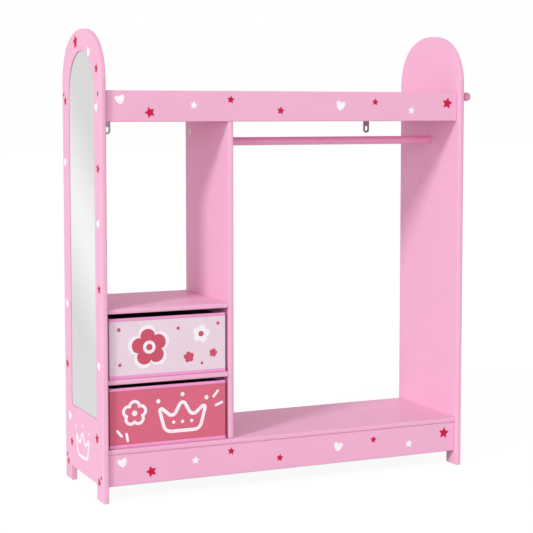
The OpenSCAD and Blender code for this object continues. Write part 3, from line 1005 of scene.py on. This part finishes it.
@dataclass
class BoardPrints:
    """The stars and hearts on the fascia, on the apron and on the mirror panel."""

    # Across from the mirror panel's outer face, and up from the floor.
    fascia_crimson: tuple[Spot, ...] = (
        Spot(Motif.STAR, 119.5, 877, 26, 20),
        Spot(Motif.STAR, 315.5, 906, 19.5, -8),
        Spot(Motif.STAR, 441, 881, 20, -8),
        Spot(Motif.STAR, 689.5, 901.5, 18, -6),
        Spot(Motif.STAR, 888.5, 899, 29, -10),
    )
    fascia_white: tuple[Spot, ...] = (
        Spot(Motif.HEART, 49, 907, 22, 12),
        Spot(Motif.STAR, 225, 893.5, 19, -3),
        Spot(Motif.HEART, 597, 894.5, 23.5, -12),
        Spot(Motif.STAR, 788.5, 881.5, 19.5, -10),
    )
    apron_crimson: tuple[Spot, ...] = (
        Spot(Motif.STAR, 117.5, 62, 27, 18),
        Spot(Motif.STAR, 314, 90.5, 19, -8),
        Spot(Motif.STAR, 438.5, 63, 19, -8),
        Spot(Motif.STAR, 688.5, 84, 18, -6),
        Spot(Motif.STAR, 886, 83, 29, -8),
    )
    apron_white: tuple[Spot, ...] = (
        Spot(Motif.HEART, 48, 90, 22, 12),
        Spot(Motif.STAR, 225, 77.5, 20, -3),
        Spot(Motif.HEART, 593, 77, 23.5, -12),
        Spot(Motif.STAR, 787, 64.5, 20, -3),
    )
    # Forward from the mirror panel's rear edge, and up from the floor.
    panel_crimson: tuple[Spot, ...] = (
        Spot(Motif.STAR, 109.5, 1039, 36, 10),
        Spot(Motif.STAR, 267, 974, 24, -8),
        Spot(Motif.STAR, 24, 903.5, 24, 12),
        Spot(Motif.STAR, 273.5, 752.5, 24, -14),
        Spot(Motif.STAR, 274.5, 483.5, 24, 6),
        Spot(Motif.STAR, 20.5, 278, 24, -10),
        Spot(Motif.STAR, 250, 141, 27, 14),
        Spot(Motif.STAR, 51.5, 94.5, 24, -6),
        Spot(Motif.STAR, 22, 41.5, 20, 10),
        Spot(Motif.STAR, 264, 43.5, 23, -12),
    )
    panel_white: tuple[Spot, ...] = (
        Spot(Motif.HEART, 210, 1013.5, 22, -14),
        Spot(Motif.HEART, 263, 889, 20, 12),
        Spot(Motif.HEART, 18, 760.5, 20, -10),
        Spot(Motif.HEART, 270, 630, 20, 16),
        Spot(Motif.HEART, 24, 423, 20, -12),
        Spot(Motif.HEART, 267.5, 309.5, 20, 14),
        Spot(Motif.HEART, 38, 156, 22, -16),
        Spot(Motif.DOT, 188, 139, 7),
        Spot(Motif.DOT, 138, 148, 8),
        Spot(Motif.DOT, 88, 139, 7),
    )
    crown_centre: Flat = (138 * MM, 106 * MM)
    crown_size: Flat = (104 * MM, 62 * MM)
    crown_line: float = 7 * MM

    def rail(self, node: str) -> Face:
        """Give the front face of a rail, whose places run to the right and up."""
        left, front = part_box("side_panel_left")[0].x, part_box(node)[0].y
        return lambda across, up, lift: (left + across, front - lift, up)

    def panel(self) -> Face:
        """Give the mirror panel's outer face, whose places run forward and up."""
        low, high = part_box("side_panel_left")
        return lambda across, up, lift: (low.x - lift, high.y - across, up)

    def build(self) -> None:
        """Print the two rails and the mirror panel."""
        fascia, apron = self.rail("top_front_rail"), self.rail("base_front_rail")
        panel = self.panel()
        films = (
            ("fascia_crimson_print", fascia, self.fascia_crimson, CRIMSON_INK),
            ("fascia_white_print", fascia, self.fascia_white, WHITE_INK),
            ("apron_crimson_print", apron, self.apron_crimson, CRIMSON_INK),
            ("apron_white_print", apron, self.apron_white, WHITE_INK),
            ("mirror_panel_crimson_print", panel, self.panel_crimson, CRIMSON_INK),
            ("mirror_panel_white_print", panel, self.panel_white, WHITE_INK),
        )
        for name, face, spots, ink in films:
            film = InkFilm(face=face)
            film.spots(spots)
            film.piece(name, ink, Body.UNIT)
        film = InkFilm(face=panel)
        film.draw(crown(*self.crown_size), self.crown_centre, self.crown_line)
        film.piece("mirror_panel_crown_print", WHITE_INK, Body.UNIT)


# ---- the mirror ----


@dataclass
class Mirror:
    """The arched acrylic mirror in the recess of the left panel."""

    arris: float = 0.5 * MM
    arch_steps: int = 96
    rows: int = 40

    def outline(self, inset: float) -> list[Flat]:
        """Walk round the sheet, anticlockwise as seen from outside.

        Args:
            inset: how far inside the sheet's edge to stay.

        Returns:
            Places along Y and Z.
        """
        low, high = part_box("mirror_sheet")
        half = (high.y - low.y) / 2
        centre_y, spring = (high.y + low.y) / 2, high.z - half
        radius = half - inset
        half_turn = [math.pi * step / self.arch_steps for step in range(self.arch_steps + 1)]
        arch = [(centre_y - radius * math.cos(t), spring + radius * math.sin(t)) for t in half_turn]
        foot = low.z + inset
        levels = [foot + (spring - foot) * i / self.rows for i in range(self.rows)]
        right = [(centre_y - radius, z) for z in levels]
        left = [(2 * centre_y - y, z) for y, z in right[::-1]]
        return right + arch + left

    def build(self) -> None:
        """Build the silvered face, the polished edge and the painted back as three pieces."""
        low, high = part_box("mirror_sheet")
        inner, outer = self.outline(self.arris), self.outline(0.0)
        face, edge, back = Form(), Form(), Form()
        # The face is one flat polygon, so that it reflects without a crease.
        face.cap(face.ring((low.x, y, z) for y, z in inner))
        glass = face.piece("mirror_face", MIRROR_FACE, Body.UNIT)
        sides = ((low.x, inner), (low.x + self.arris, outer), (high.x, outer))
        rings = [edge.ring((x, y, z) for y, z in outline) for x, outline in sides]
        edge.loft(rings[::-1])
        edge.piece("mirror_edge", MIRROR_EDGE, Body.UNIT)
        back.cap(back.ring((high.x, y, z) for y, z in outer[::-1]))
        back.piece("mirror_back", MIRROR_BACK, Body.UNIT)
        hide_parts("mirror_sheet")


# ---- the fabric boxes ----


@dataclass
class FabricBox:
    """One open fabric box: a printed skin over card, lined, bound with tape and sewn.

    Distances outwards are measured from the skin's flat outer face.
    """

    key: str
    body: Body
    cloth: Finish
    skin_t: float = 0.8 * MM
    card_t: float = 2.0 * MM
    tape_t: float = 0.6 * MM
    corner: float = 1.5 * MM
    least_corner: float = 0.4 * MM
    seam_ridge: float = 0.5 * MM
    seam_sharpness: int = 6
    bow: float = 0.5 * MM
    crease: float = 0.25 * MM
    crease_size: float = 45 * MM
    pucker: float = 0.12 * MM
    pucker_pitch: float = 13 * MM
    pucker_reach: float = 9 * MM
    # How much of the skin's billow the tapes and the lining follow; the lining bows inwards.
    tape_share: float = 0.6
    lining_share: float = -0.8
    row_step: float = 4 * MM
    # A tape's edge turns in by the first length over the height of the second.
    tape_edge: Flat = (0.45 * MM, 0.4 * MM)
    # The base tape's lower edge turns under the box: how far in, and how far up, in three steps.
    turned_under: tuple[Flat, ...] = ((1.0 * MM, 0.0), (0.35 * MM, 0.5 * MM), (0.0, 1.4 * MM))
    stitch_l: float = 3.2 * MM
    stitch_pitch: float = 4.2 * MM
    stitch_in: float = 1.4 * MM
    thread_r: float = 0.28 * MM
    # A stitch's rings along its length, its dive in thread radii and its thinness at an end.
    stitch_rings: tuple[float, ...] = (-0.46, -0.25, 0.0, 0.25, 0.46)
    stitch_dive: float = 0.6
    stitch_thin: float = 0.45
    floor_edge: float = 0.8 * MM
    floor_warp: float = 0.25 * MM

    def __post_init__(self) -> None:
        """Take the box's sizes from its nodes."""
        low, high = self.span("skin")
        self.middle = (low + high) / 2
        self.half_w, self.half_d = (high.x - low.x) / 2, (high.y - low.y) / 2
        self.foot, self.brim = low.z, high.z
        tape_low, tape_high = self.span("rim_binding")
        self.tape_low, self.tape_top = tape_low.z, tape_high.z
        self.tape_out = tape_high.x - high.x
        self.base_top = self.span("base_binding")[1].z
        # The lining's visible face lies inside skin, card and its own thickness.
        self.lining_out = -(2 * self.skin_t + self.card_t)
        self.tape_in = self.lining_out - self.tape_out
        self.stations = round_trip(per_side=84, per_corner=8)

    def span(self, part: str) -> tuple[Vector, Vector]:
        """Give the lowest and highest corner of one of this box's nodes."""
        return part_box(self.named(part))

    def named(self, part: str) -> str:
        """Name a part of this box."""
        return f"box_{self.key}_{part}"

    def billow(self, station: Station, z: float) -> float:
        """Give how far the cloth stands off its flat face.

        Args:
            station: the place on the way round.
            z: the height.

        Returns:
            The slight bow of a wall, its creases, the puckers by the tapes and the corner seams.
        """
        x, y = station.at(self.half_w, self.half_d, self.corner)
        level = min(max((z - self.foot) / (self.brim - self.foot), 0.0), 1.0)
        free = (1 - (station.side_x * station.side_y) ** 2) * 4 * level * (1 - level)
        creases = noise.noise(Vector((x, y, z)) / self.crease_size + Vector((0, 0, len(self.key))))
        to_tape = max(min(z - self.base_top, self.tape_low - z), 0.0)
        fading = math.exp(-to_tape / self.pucker_reach)
        gather = math.sin(math.tau * (x + y) / self.pucker_pitch) * fading
        seam = self.seam_ridge * abs(2 * station.out_x * station.out_y) ** self.seam_sharpness
        return free * (self.bow + self.crease * creases) + self.pucker * gather + seam

    def point(self, station: Station, out: float, z: float, share: float = 1.0) -> Point:
        """Place a point of the box.

        Args:
            station: the place on the way round.
            out: how far it lies outside the skin's flat face.
            z: its height.
            share: how much of the cloth's billow it follows.

        Returns:
            The point in the frame.
        """
        radius = max(self.corner + out, self.least_corner)
        x, y = station.at(self.half_w + out, self.half_d + out, radius)
        push = share * self.billow(station, z)
        return self.middle.x + x + station.out_x * push, self.middle.y + y + station.out_y * push, z

    def around(self, out: float, z: float, share: float = 1.0) -> list[Point]:
        """Walk once round the box; the arguments are those of a point."""
        return [self.point(station, out, z, share) for station in self.stations]

    def tub(self, out: float, foot: float, brim: float, share: float) -> Form:
        """Build an open tub of cloth, its outer side outwards.

        Args:
            out: where its walls stand.
            foot: the height of its bottom.
            brim: the height of its upper edge.
            share: how much of the cloth's billow it follows.

        Returns:
            The tub's form.
        """
        form = Form()
        fold = self.corner
        # Rings of the flat bottom, of the fold at its edge, and of the walls.
        insets = (0.8 * self.half_d, 0.5 * self.half_d, 0.2 * self.half_d, 2 * fold)
        rings = [form.ring(self.around(out - inset, foot, 0)) for inset in insets]
        for step in range(4):
            turn = step / 4 * math.pi / 2
            inset, rise = fold * (1 - math.sin(turn)), fold * (1 - math.cos(turn))
            rings.append(form.ring(self.around(out - inset, foot + rise, 0)))
        low = foot + fold
        rows = math.ceil((brim - low) / self.row_step)
        levels = [low + (brim - low) * i / rows for i in range(rows + 1)]
        rings += [form.ring(self.around(out, z, share)) for z in levels]
        form.loft(rings)
        form.cap(rings[0][::-1])
        return form

    def sheet(
        self,
        form: Form,
        name: str,
        node: str,
        finish: Finish,
        thickness: float,
        crease: float = CREASE,
    ) -> Object:
        """Turn a form into the cloth or tape that replaces one of the box's nodes.

        Args:
            form: the side of the sheet that shows.
            name: the piece's name within the box.
            node: the node's name within the box.
            finish: what it is made of.
            thickness: how thick the sheet is behind that side.
            crease: as for any piece.

        Returns:
            The piece.
        """
        made = form.piece(self.named(name), finish, self.body, crease)
        solid = made.modifiers.new("thickness", "SOLIDIFY")
        solid.thickness = thickness
        solid.offset = -1.0
        solid.use_even_offset = True
        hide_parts(self.named(node))
        return made

    def skin(self) -> Object:
        """Build the printed skin, taut over the cards."""
        form = self.tub(0.0, self.foot, self.brim - self.skin_t, 1.0)
        return self.sheet(form, "cloth_skin", "skin", self.cloth, self.skin_t)

    def lining(self) -> Object:
        """Build the black lining, whose good side faces inwards.

        Returns:
            The lining.
        """
        foot, brim = self.foot + 2 * self.skin_t, self.brim - self.skin_t
        form = self.tub(self.lining_out, foot, brim, self.lining_share)
        form.faces = [face[::-1] for face in form.faces]
        return self.sheet(form, "cloth_lining", "lining", LINING_CLOTH, self.skin_t)

    def tape(self, node: str, profile: Sequence[Flat]) -> Object:
        """Sweep a tape round the box.

        Args:
            node: the node that the tape stands for.
            profile: its outer side, as places outwards and up.

        Returns:
            The tape.
        """
        form = Form()
        form.loft([form.ring(self.around(out, z, self.tape_share)) for out, z in profile])
        return self.sheet(form, f"{node}_tape", node, BINDING, self.tape_t, crease=60)

    def rim_profile(self) -> list[Flat]:
        """Go up the outside of the rim, over its round top and down inside.

        Returns:
            Places outwards and up.
        """
        radius = (self.tape_out - self.tape_in) / 2
        top_out, top_z = (self.tape_out + self.tape_in) / 2, self.tape_top - radius
        half_turn = [math.pi * step / 12 for step in range(13)]
        turned, edge = self.tape_edge
        return [
            (self.tape_out - turned, self.tape_low),
            (self.tape_out, self.tape_low + edge),
            *((top_out + radius * math.cos(t), top_z + radius * math.sin(t)) for t in half_turn),
            (self.tape_in, self.tape_low + edge),
            (self.tape_in + turned, self.tape_low),
        ]

    def base_profile(self) -> list[Flat]:
        """Go up the outside of the base tape, which turns in under the box a little.

        Returns:
            Places outwards and up.
        """
        turned, edge = self.tape_edge
        return [
            *((self.tape_out - inwards, self.foot + up) for inwards, up in self.turned_under),
            (self.tape_out, self.base_top - edge),
            (self.tape_out - turned, self.base_top),
        ]

    def stitches(self) -> Object:
        """Sew the tapes: one row outside and one inside the rim, and one round the base.

        Returns:
            The stitches, as one piece.
        """
        form = Form()
        rows = (
            (self.tape_out, self.tape_low + self.stitch_in, 1),
            (self.tape_in, self.tape_low + self.stitch_in, -1),
            (self.tape_out, self.base_top - self.stitch_in, 1),
        )
        for out, z, facing in rows:
            for place, ahead in walk(self.around(out, z, self.tape_share), self.stitch_pitch):
                self.stitch(form, place, ahead, facing)
        return form.piece(self.named("stitches"), THREAD, self.body)

    def stitch(self, form: Form, place: Vector, ahead: Vector, facing: int) -> None:
        """Add one stitch, which dives into the tape at both ends.

        Args:
            form: the form that takes it.
            place: its middle, on the tape.
            ahead: the direction of the row.
            facing: 1 if the tape faces outwards, or -1.
        """
        up = Vector((0, 0, 1))
        side = ahead.cross(up)
        rings = []
        for run in self.stitch_rings:
            arch = math.cos(math.pi * run)
            rise = self.thread_r * (2 * self.stitch_dive * arch - self.stitch_dive)
            middle = place + ahead * (run * self.stitch_l) + side * facing * rise
            radius = self.thread_r * (self.stitch_thin + (1 - self.stitch_thin) * arch)
            spokes = [(up * math.cos(t) + side * math.sin(t)) * radius for t in turns(6)]
            rings.append(form.ring(middle + spoke for spoke in spokes))
        form.loft(rings)
        form.cap(rings[0][::-1])
        form.cap(rings[-1])

    def floor_board(self) -> None:
        """Build the loose floor card in its bonded cover, with soft edges and a shallow warp."""
        low, high = self.span("floor_card")
        half_w, half_d = (high.x - low.x) / 2, (high.y - low.y) / 2
        soft = self.floor_edge
        levels = [
            (0.6 * half_d, low.z, 0.0),
            (soft, low.z, 0.0),
            (0.0, low.z + soft, 0.0),
            (0.0, high.z - soft, 0.0),
            (soft, high.z, 0.0),
        ]
        shares = (0.1, 0.25, 0.4, 0.55, 0.7, 0.85)
        levels += [(soft + share * half_d, high.z, self.floor_warp) for share in shares]
        form = Form()
        rings = []
        for inset, z, warp in levels:
            points = []
            for station in self.stations:
                x, y = station.at(half_w - inset, half_d - inset, 2 * soft)
                lift = warp * noise.noise(Vector((x, y, 0)) / self.crease_size)
                points.append((self.middle.x + x, self.middle.y + y, z + lift - warp))
            rings.append(form.ring(points))
        form.loft(rings)
        form.cap(rings[0][::-1])
        form.cap(rings[-1])
        made = form.piece(self.named("covered_floor_board"), LINING_CLOTH, self.body)
        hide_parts(self.named("floor_card"))

    def front(self, across: float, up: float, lift: float) -> Point:
        """Give a point on the front wall, right from its middle and up from the box's foot."""
        station = Station(across / (self.half_w - self.corner), -1.0, 0.0, -1.0)
        return self.point(station, lift, self.foot + up)

    def prints(self) -> None:
        """Print the front wall; each of the two boxes has its own design."""

    def build(self) -> None:
        """Build every piece of the box."""
        skin, lining = self.skin(), self.lining()
        rim = self.tape("rim_binding", self.rim_profile())
        base = self.tape("base_binding", self.base_profile())
        stitches = self.stitches()
        self.floor_board()
        self.prints()


@dataclass
class FlowerBox(FabricBox):
    """The upper box: a large rose flower and small ones on pale cloth."""

    big: Flat = (-46 * MM, 69 * MM)
    big_turn: float = 8.0
    # Each lies on the one before: white petals, rose petals, a white disc and its rose centre.
    big_petals: float = 102 * MM
    big_rose_petals: float = 84 * MM
    big_disc: float = 30 * MM
    big_centre: float = 15 * MM
    small: Flat = (80 * MM, 92 * MM)
    small_turn: float = -12.0
    small_petals: float = 42 * MM
    small_centre: float = 13 * MM
    scattered: tuple[Spot, ...] = (
        Spot(Motif.FLOWER, 50, 40, 26, 10),
        Spot(Motif.FLOWER, 110, 46, 20, -14),
        Spot(Motif.DOT, 24, 108, 8),
        Spot(Motif.DOT, 122, 114, 8),
        Spot(Motif.DOT, 82, 24, 7),
        Spot(Motif.DOT, -118, 112, 9),
        Spot(Motif.DOT, -116, 32, 8),
    )

    def prints(self) -> None:
        """Print the flowers, white first, then rose on it."""
        white, rose = InkFilm(face=self.front), InkFilm(face=self.front)
        white.lay(flower(self.big_petals), self.big, turn=self.big_turn)
        rose.lay(flower(self.big_rose_petals), self.big, turn=self.big_turn, layer=2)
        white.lay(dot(self.big_disc), self.big, layer=3)
        rose.lay(dot(self.big_centre), self.big, layer=4)
        white.lay(flower(self.small_petals), self.small, turn=self.small_turn)
        rose.lay(dot(self.small_centre), self.small, layer=2)
        rose.spots(self.scattered)
        white.piece(self.named("white_print"), CHALK_INK, self.body)
        rose.piece(self.named("rose_print"), ROSE_INK, self.body)


@dataclass
class CrownBox(FabricBox):
    """The lower box: a crown and a flower in white line on rose cloth."""

    crown_at: Flat = (34 * MM, 66 * MM)
    crown_size: Flat = (118 * MM, 74 * MM)
    crown_line: float = 8 * MM
    flower_at: Flat = (-82 * MM, 78 * MM)
    flower_size: float = 54 * MM
    flower_line: float = 7 * MM
    scattered: tuple[Spot, ...] = (
        Spot(Motif.DOT, -82, 78, 13),
        Spot(Motif.DOT, 12, 50, 8),
        Spot(Motif.DOT, 34, 50, 8),
        Spot(Motif.DOT, 56, 50, 8),
        Spot(Motif.DOT, 34, 113, 10),
        Spot(Motif.DOT, -25, 101, 10),
        Spot(Motif.DOT, 93, 101, 10),
        Spot(Motif.DASH, 116, 108, 22, -40),
        Spot(Motif.DASH, 124, 84, 22, -70),
        Spot(Motif.DASH, -118, 34, 22, 40),
        Spot(Motif.DASH, -100, 24, 22, 10),
    )

    def prints(self) -> None:
        """Print the line drawing."""
        white = InkFilm(face=self.front)
        white.draw(crown(*self.crown_size), self.crown_at, self.crown_line)
        white.draw(flower(self.flower_size), self.flower_at, self.flower_line)
        white.spots(self.scattered)
        white.piece(self.named("white_print"), LOWER_CHALK_INK, self.body)


# ---- the studio ----


@dataclass
class Studio:
    """The camera, the lights, the white surroundings and the floor."""

    eye: Point = (-1.48075, -3.285, 0.878)
    # The camera looks this many degrees to the right, and down.
    pan: float = 24.02
    dip: float = 4.42
    # The lens looks at a 36 mm wide film.
    lens: float = 100.33
    shift: Flat = (-0.0013, -0.0745)
    farthest: float = 200.0
    sun_at: Point = (-4.0, -3.0, 4.0)
    sun_way: Point = (0.745, 0.43, -0.51)
    sun_strength: float = 1.52
    sun_spread: float = 11.0
    fill_at: Point = (-4.4, -7.0, 1.6)
    fill_aim: Point = (0.0, 0.0, 0.5)
    fill_power: float = 198.0
    fill_size: float = 5.6
    # The sky is a little pink, as it is beside a large pink object on white paper.
    sky_colour: str = "#FFE9F3"
    sky: float = 0.545
    # The paper lights the object as white paper does, and shows as a glow with a faint shadow.
    paper: str = "#E7E7E7"
    paper_shade: str = "#616161"
    paper_glow: float = 0.93
    floor_size: float = 60.0
    # A wide card behind the left end glows in one slanted patch, which only reflections show.
    card_corner: Point = (-6.0, 2.0, 0.0)
    card_size: Flat = (10.0, 4.0)
    patch_at: Point = (-1.109, 2.0, 0.42)
    patch_reach: Point = (1.235, 1.0, 0.163)
    patch_lean: float = 71.0
    patch_glow: float = 0.306

    def camera(self) -> None:
        """Set up the camera."""
        data = bpy.data.cameras.new("camera")
        data.lens = self.lens
        data.shift_x, data.shift_y = self.shift
        data.clip_end = self.farthest
        camera = bpy.data.objects.new("camera", data)
        camera.location = self.eye
        camera.rotation_euler = (math.radians(90 - self.dip), 0, math.radians(-self.pan))
        bpy.context.scene.collection.objects.link(camera)
        bpy.context.scene.camera = camera

    def lamp(self, name: str, kind: Lamp, at: Point, way: Vector, **settings: float) -> None:
        """Add a lamp.

        Args:
            name: its name.
            kind: its kind.
            at: where it stands.
            way: where it shines.
            **settings: its strength and size.
        """
        data = bpy.data.lights.new(name, kind.value)
        for setting, value in settings.items():
            setattr(data, setting, value)
        made = bpy.data.objects.new(name, data)
        made.location = at
        made.rotation_euler = way.to_track_quat("-Z", "Y").to_euler()
        bpy.context.scene.collection.objects.link(made)

    def shown(self, tree: NodeTree, lighting: Node, showing: Node) -> Node:
        """Let the rays that show a surface meet another shader than those that light the object.

        Args:
            tree: the node tree of the surface.
            lighting: the shader that lights the object.
            showing: the shader for camera, glossy and transmission rays.

        Returns:
            The node that mixes the two.
        """
        path = add_node(tree, "ShaderNodeLightPath").outputs
        eye = {0: path["Is Camera Ray"], 1: path["Is Glossy Ray"]}
        seen = add_node(tree, "ShaderNodeMath", eye, operation="MAXIMUM")
        seen = add_node(
            tree, "ShaderNodeMath", {0: seen, 1: path["Is Transmission Ray"]}, operation="MAXIMUM"
        )
        return add_node(tree, "ShaderNodeMixShader", {0: seen, 1: lighting, 2: showing})

    def surroundings(self) -> None:
        """Show white all round, and light the object with a softer sky."""
        world = bpy.data.worlds.new("studio")
        bpy.context.scene.world = world
        world.use_nodes = True
        tree = world.node_tree
        tree.nodes.clear()
        tint = {"Color": linear(self.sky_colour), "Strength": self.sky}
        sky = add_node(tree, "ShaderNodeBackground", tint)
        plain = {"Color": linear("#FFFFFF"), "Strength": 1.0}
        white = add_node(tree, "ShaderNodeBackground", plain)
        add_node(tree, "ShaderNodeOutputWorld", {"Surface": self.shown(tree, sky, white)})

    def seamless(self) -> Material:
        """Make the white seamless paper of the floor, which keeps the object's shadow.

        Returns:
            The material.
        """
        material = blank_material("white_seamless_paper")
        tree = material.node_tree
        matt = add_node(tree, "ShaderNodeBsdfDiffuse", {"Color": linear(self.paper)})
        shade = add_node(tree, "ShaderNodeBsdfDiffuse", {"Color": linear(self.paper_shade)})
        glow = add_node(tree, "ShaderNodeEmission", {"Strength": self.paper_glow})
        glowing = add_node(tree, "ShaderNodeAddShader", {0: shade, 1: glow})
        add_node(tree, "ShaderNodeOutputMaterial", {"Surface": self.shown(tree, matt, glowing)})
        return material

    def lit_card(self) -> Material:
        """Make the card's glow, white all over and brighter in its slanted patch.

        Returns:
            The material.
        """
        material = blank_material("lit_card")
        tree = material.node_tree
        place = {
            "Vector": add_node(tree, "ShaderNodeTexCoord").outputs["Object"],
            "Location": self.patch_at,
            "Rotation": (0, -math.radians(self.patch_lean), 0),
            "Scale": self.patch_reach,
        }
        patch = add_node(tree, "ShaderNodeMapping", place, vector_type="TEXTURE")
        fall = add_node(tree, "ShaderNodeTexGradient", {0: patch}, gradient_type="SPHERICAL")
        glow = {"Value": fall.outputs["Fac"], "To Min": 1.0, "To Max": 1.0 + self.patch_glow}
        strength = add_node(tree, "ShaderNodeMapRange", glow, interpolation_type="SMOOTHSTEP")
        light = add_node(tree, "ShaderNodeEmission", {"Strength": strength})
        add_node(tree, "ShaderNodeOutputMaterial", {"Surface": light})
        return material

    def flat(self, name: str, corners: Sequence[Point], material: Material) -> Object:
        """Add a flat surface that belongs to the studio.

        Args:
            name: its name.
            corners: its corners.
            material: its material.

        Returns:
            The surface.
        """
        mesh = bpy.data.meshes.new(name)
        mesh.from_pydata(corners, [], [tuple(range(len(corners)))])
        mesh.materials.append(material)
        made = bpy.data.objects.new(name, mesh)
        bpy.context.scene.collection.objects.link(made)
        return made

    def card(self) -> None:
        """Hang the card that gives the mirror its soft slanted band of light."""
        x, y, z = self.card_corner
        width, height = self.card_size
        corners = [(x, y, z), (x + width, y, z), (x + width, y, z + height), (x, y, z + height)]
        card = self.flat("card", corners, self.lit_card())
        card.visible_camera = False
        card.visible_diffuse = False
        card.visible_transmission = False
        card.visible_shadow = False

    def build(self) -> None:
        """Set up the whole studio."""
        self.camera()
        self.surroundings()
        way, spread = Vector(self.sun_way), math.radians(self.sun_spread)
        self.lamp("key", Lamp.SUN, self.sun_at, way, energy=self.sun_strength, angle=spread)
        way = Vector(self.fill_aim) - Vector(self.fill_at)
        power, size = self.fill_power, self.fill_size
        self.lamp("fill", Lamp.AREA, self.fill_at, way, energy=power, size=size)
        half = self.floor_size / 2
        corners = [(-half, -half, 0), (half, -half, 0), (half, half, 0), (-half, half, 0)]
        self.flat("floor", corners, self.seamless())
        self.card()


def main() -> None:
    """Build the studio, dress the unit and add what the frame leaves plain."""
    logging.basicConfig(level=logging.INFO, format="%(name)s: %(message)s")
    bpy.context.scene.view_settings.view_transform = "Standard"
    Studio().build()
    Carcass().dress()
    Mirror().build()
    BoardPrints().build()
    FlowerBox("upper", Body.UPPER_BOX, UPPER_CLOTH).build()
    CrownBox("lower", Body.LOWER_BOX, LOWER_CLOTH).build()


if __name__ == "__main__":
    main()
